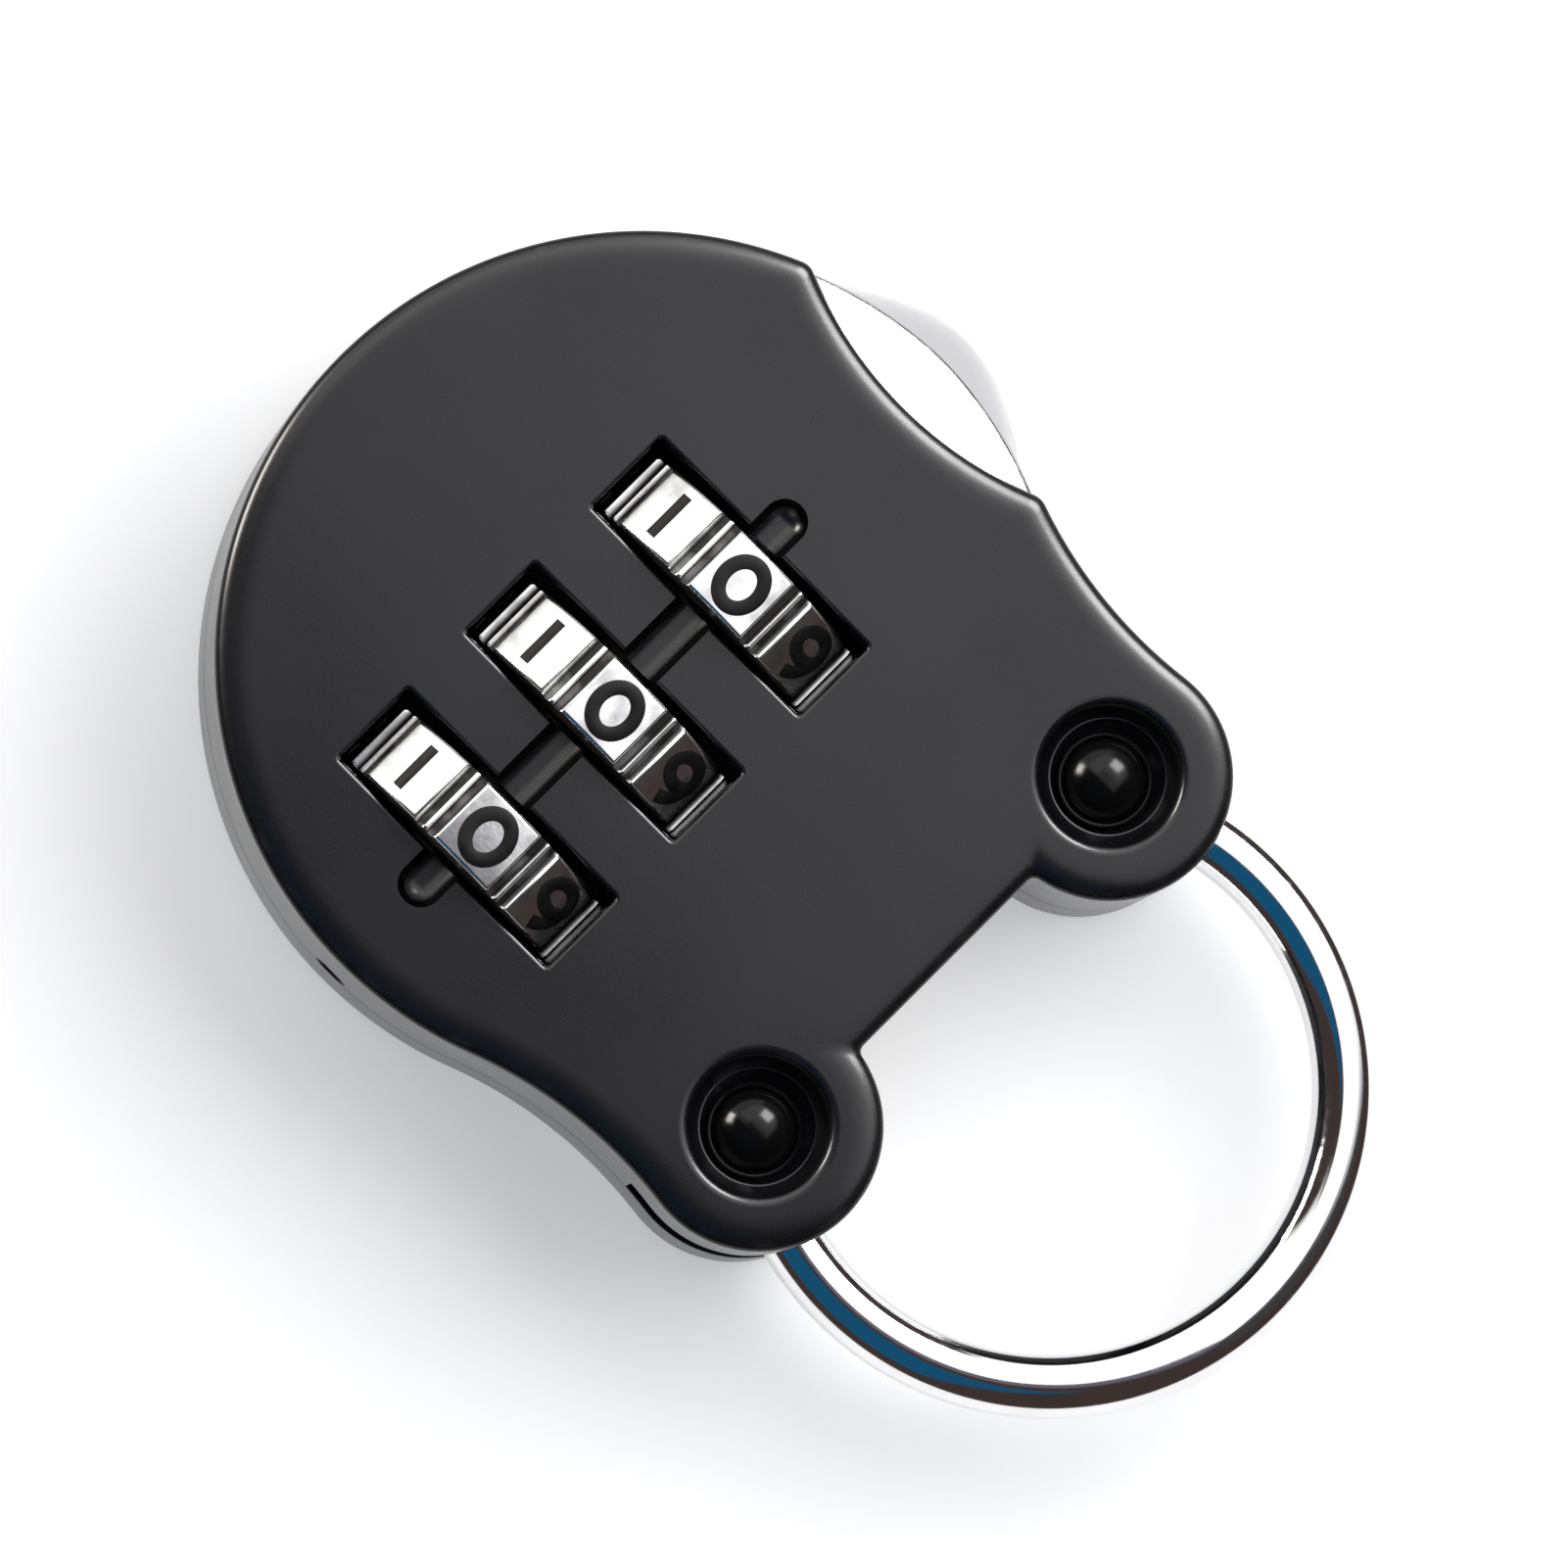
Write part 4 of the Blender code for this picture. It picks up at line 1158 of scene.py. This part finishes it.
# Painted shade on the button's sides, greyer than its top.
paint_side_shade(BUTTON, (0.5, 0.5, 0.515))
WHEEL = wheel_chrome()
PAINT = digit_paint()
STEEL = polished("steel_look", (0.6, 0.6, 0.61), (0.42, 0.42, 0.43), 0.26, 0.4, 0.12)
SPRING = polished("spring_steel_look", (0.4, 0.4, 0.43), (0.24, 0.24, 0.27), 0.22, 0.34, 0.15)
BRASS = polished("brass_look", (0.66, 0.5, 0.22), (0.45, 0.31, 0.13), 0.24, 0.4, 0.1)
# Near-black brass, used for the clutch sleeves and detents.
DARK_BRASS = polished("dark_brass_look", (0.05, 0.042, 0.03), (0.02, 0.017, 0.014), 0.3, 0.5, 0.1)

make_front_shell(ENAMEL)
make_rear_cover(ENAMEL)
make_rivet("hinge_rivet", -LOBE_Y, RIVET)
make_rivet("latch_rivet", LOBE_Y, RIVET)
make_screw("case_screw_lower", -SCREW_Y, STEEL)
make_screw("case_screw_upper", SCREW_Y, STEEL)
make_ring(CHROME)
make_button(BUTTON)
for index, middle_y in enumerate(WHEEL_Y, 1):
    make_wheel(index, middle_y, WHEEL)
    make_digits(index, middle_y, PAINT)
make_reset_pin(STEEL)
make_spring(
    "button_spring",
    ends=(9.2, 11.92),
    radius=2.8,
    wire=0.22,
    turns=3.5,
    material=SPRING,
)
make_spring(
    "reset_spring",
    ends=(6.5, 8.1),
    radius=2.5,
    wire=0.15,
    turns=2.5,
    material=SPRING,
)

# The CAD nodes that still show, by the material they came with.
INNER_LOOKS = {
    "brass": BRASS,
    "steel": STEEL,
    "spring_steel": SPRING,
    "chrome": CHROME,
    "bright_button": BUTTON,
    "black_enamel": ENAMEL,
    "black_rivet": RIVET,
}
for name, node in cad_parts.items():
    if node.hide_render:
        continue
    used = node.data.materials[0].name.split(".")[0] if node.data.materials else "steel"
    node.data.materials.clear()
    # Clutch sleeves and detents take the near-black brass.
    dark_part = name.startswith(("clutch_sleeve", "detent"))
    node.data.materials.append(DARK_BRASS if dark_part else INNER_LOOKS.get(used, STEEL))


# Floor, light and camera

FLOOR_HALF = 900.0
FLOOR_DEPTH = 4.0
floor_span = (-FLOOR_HALF, FLOOR_HALF)
floor = box("floor", floor_span, floor_span, (-FLOOR_DEPTH, 0.0))
floor.data.materials.append(floor_white())


def soft_box(name, at, aim, size, radiance, colour=(1.0, 1.0, 1.0)):
    """A rectangular soft light aimed at a point in metres, unseen by the camera itself."""
    width, height = size
    light = bpy.data.lights.new(name, "AREA")
    light.shape = "RECTANGLE"
    light.size = width
    light.size_y = height
    light.energy = radiance * math.pi * width * height
    light.color = colour
    holder = bpy.data.objects.new(name, light)
    bpy.context.scene.collection.objects.link(holder)
    holder.location = at
    holder.rotation_mode = "QUATERNION"
    holder.rotation_quaternion = (Vector(aim) - Vector(at)).to_track_quat("-Z", "Y")
    holder.visible_camera = False
    return holder


LOCK_MIDDLE = (0.0, 0.0, 0.01)

# These three show in reflections only; the fill lights matt surfaces only.
mirrored = (
    soft_box(
        "main_panel",
        at=(-0.015, 0.085, 0.1),
        aim=(-0.015, 0.085, 0.0),
        size=(0.2, 0.17),
        radiance=1.12,
    ),
    soft_box(
        "back_light",
        at=(-0.01, 0.42, 0.37),
        aim=LOCK_MIDDLE,
        size=(0.26, 0.24),
        radiance=21.0,
    ),
    soft_box(
        "window",
        at=(-0.42, -0.13, 0.16),
        aim=LOCK_MIDDLE,
        size=(0.17, 0.15),
        radiance=34.0,
        colour=(1.0, 0.95, 0.88),
    ),
)
for panel in mirrored:
    panel.visible_diffuse = False
fill = soft_box(
    "fill",
    at=(0.06, 0.25, 0.36),
    aim=(0.01, 0.0, 0.0),
    size=(0.34, 0.34),
    radiance=2.8,
)
fill.visible_glossy = False

world = bpy.data.worlds.new("studio")
bpy.context.scene.world = world
world.use_nodes = True
sky = world.node_tree
at = sky.nodes.new("ShaderNodeTexCoord")
apart = sky.nodes.new("ShaderNodeSeparateXYZ")
sky.links.new(at.outputs["Generated"], apart.inputs["Vector"])
ahead, beside, above = apart.outputs["X"], apart.outputs["Y"], apart.outputs["Z"]


def layer(under, value, low, high, colour):
    """Lay a colour over the sky, none of it where value is low and all of it at high."""
    return blend_colour(sky, remap(sky, value, low, high, 0.0, 1.0), under, colour)


# What the polished parts mirror, each colour with the side of the sky that it fills.
TEAL = (0.008, 0.085, 0.18)
BROWN = (0.05, 0.036, 0.032)
NORTH_LOW = (0.14, 0.13, 0.16)
NORTH_HIGH = (1.1, 1.1, 1.12)
NORTH_FAR = (0.05, 0.048, 0.047)
WEST_WALL = (1.3, 1.28, 1.24)
FLOOR_LINE = (0.8, 0.8, 0.8)

north = layer(NORTH_LOW, beside, 0.22, 0.42, NORTH_HIGH)
north = layer(north, ahead, 0.45, 0.62, NORTH_FAR)
south = layer(TEAL, ahead, 0.36, 0.44, BROWN)
south = layer(south, ahead, -0.26, -0.34, BROWN)
sky_colour = layer(south, beside, -0.2, -0.17, BROWN)
sky_colour = layer(sky_colour, beside, -0.08, -0.02, north)
sky_colour = layer(sky_colour, above, 0.5, 0.42, BROWN)
west = remap(sky, ahead, -0.34, -0.42, 0.0, 1.0)
west = maths(sky, "MULTIPLY", west, remap(sky, beside, -0.14, -0.06, 0.0, 1.0))
west = maths(sky, "MULTIPLY", west, remap(sky, above, 0.06, 0.14, 0.0, 1.0))
sky_colour = blend_colour(sky, west, sky_colour, WEST_WALL)
sky_colour = layer(sky_colour, above, 0.04, 0.0, FLOOR_LINE)
sky.links.new(sky_colour, sky.nodes["Background"].inputs["Color"])

bpy.context.scene.view_settings.view_transform = "Standard"

# A long lens far off, as the photo shows no perspective to speak of.
VIEW_WIDTH = 0.06353
LENS = 400.0
SENSOR = 36.0
VIEW_TARGET = Vector((7.5, 0.4, 13.0)) * MM
TOWARD_CAMERA = Vector((-0.02, -0.106, 1.0))
lens = bpy.data.cameras.new("camera")
lens.lens = LENS
lens.sensor_width = SENSOR
lens.clip_start = 0.01
lens.clip_end = 20.0
camera = bpy.data.objects.new("camera", lens)
bpy.context.scene.collection.objects.link(camera)
back = TOWARD_CAMERA.normalized()
image_up = Vector((-1.0, 1.0, 0.0))
image_up = (image_up - back * image_up.dot(back)).normalized()
image_right = image_up.cross(back)
camera.location = VIEW_TARGET + back * (VIEW_WIDTH * LENS / SENSOR)
camera.rotation_mode = "QUATERNION"
camera.rotation_quaternion = Matrix((image_right, image_up, back)).transposed().to_quaternion()
bpy.context.scene.camera = camera
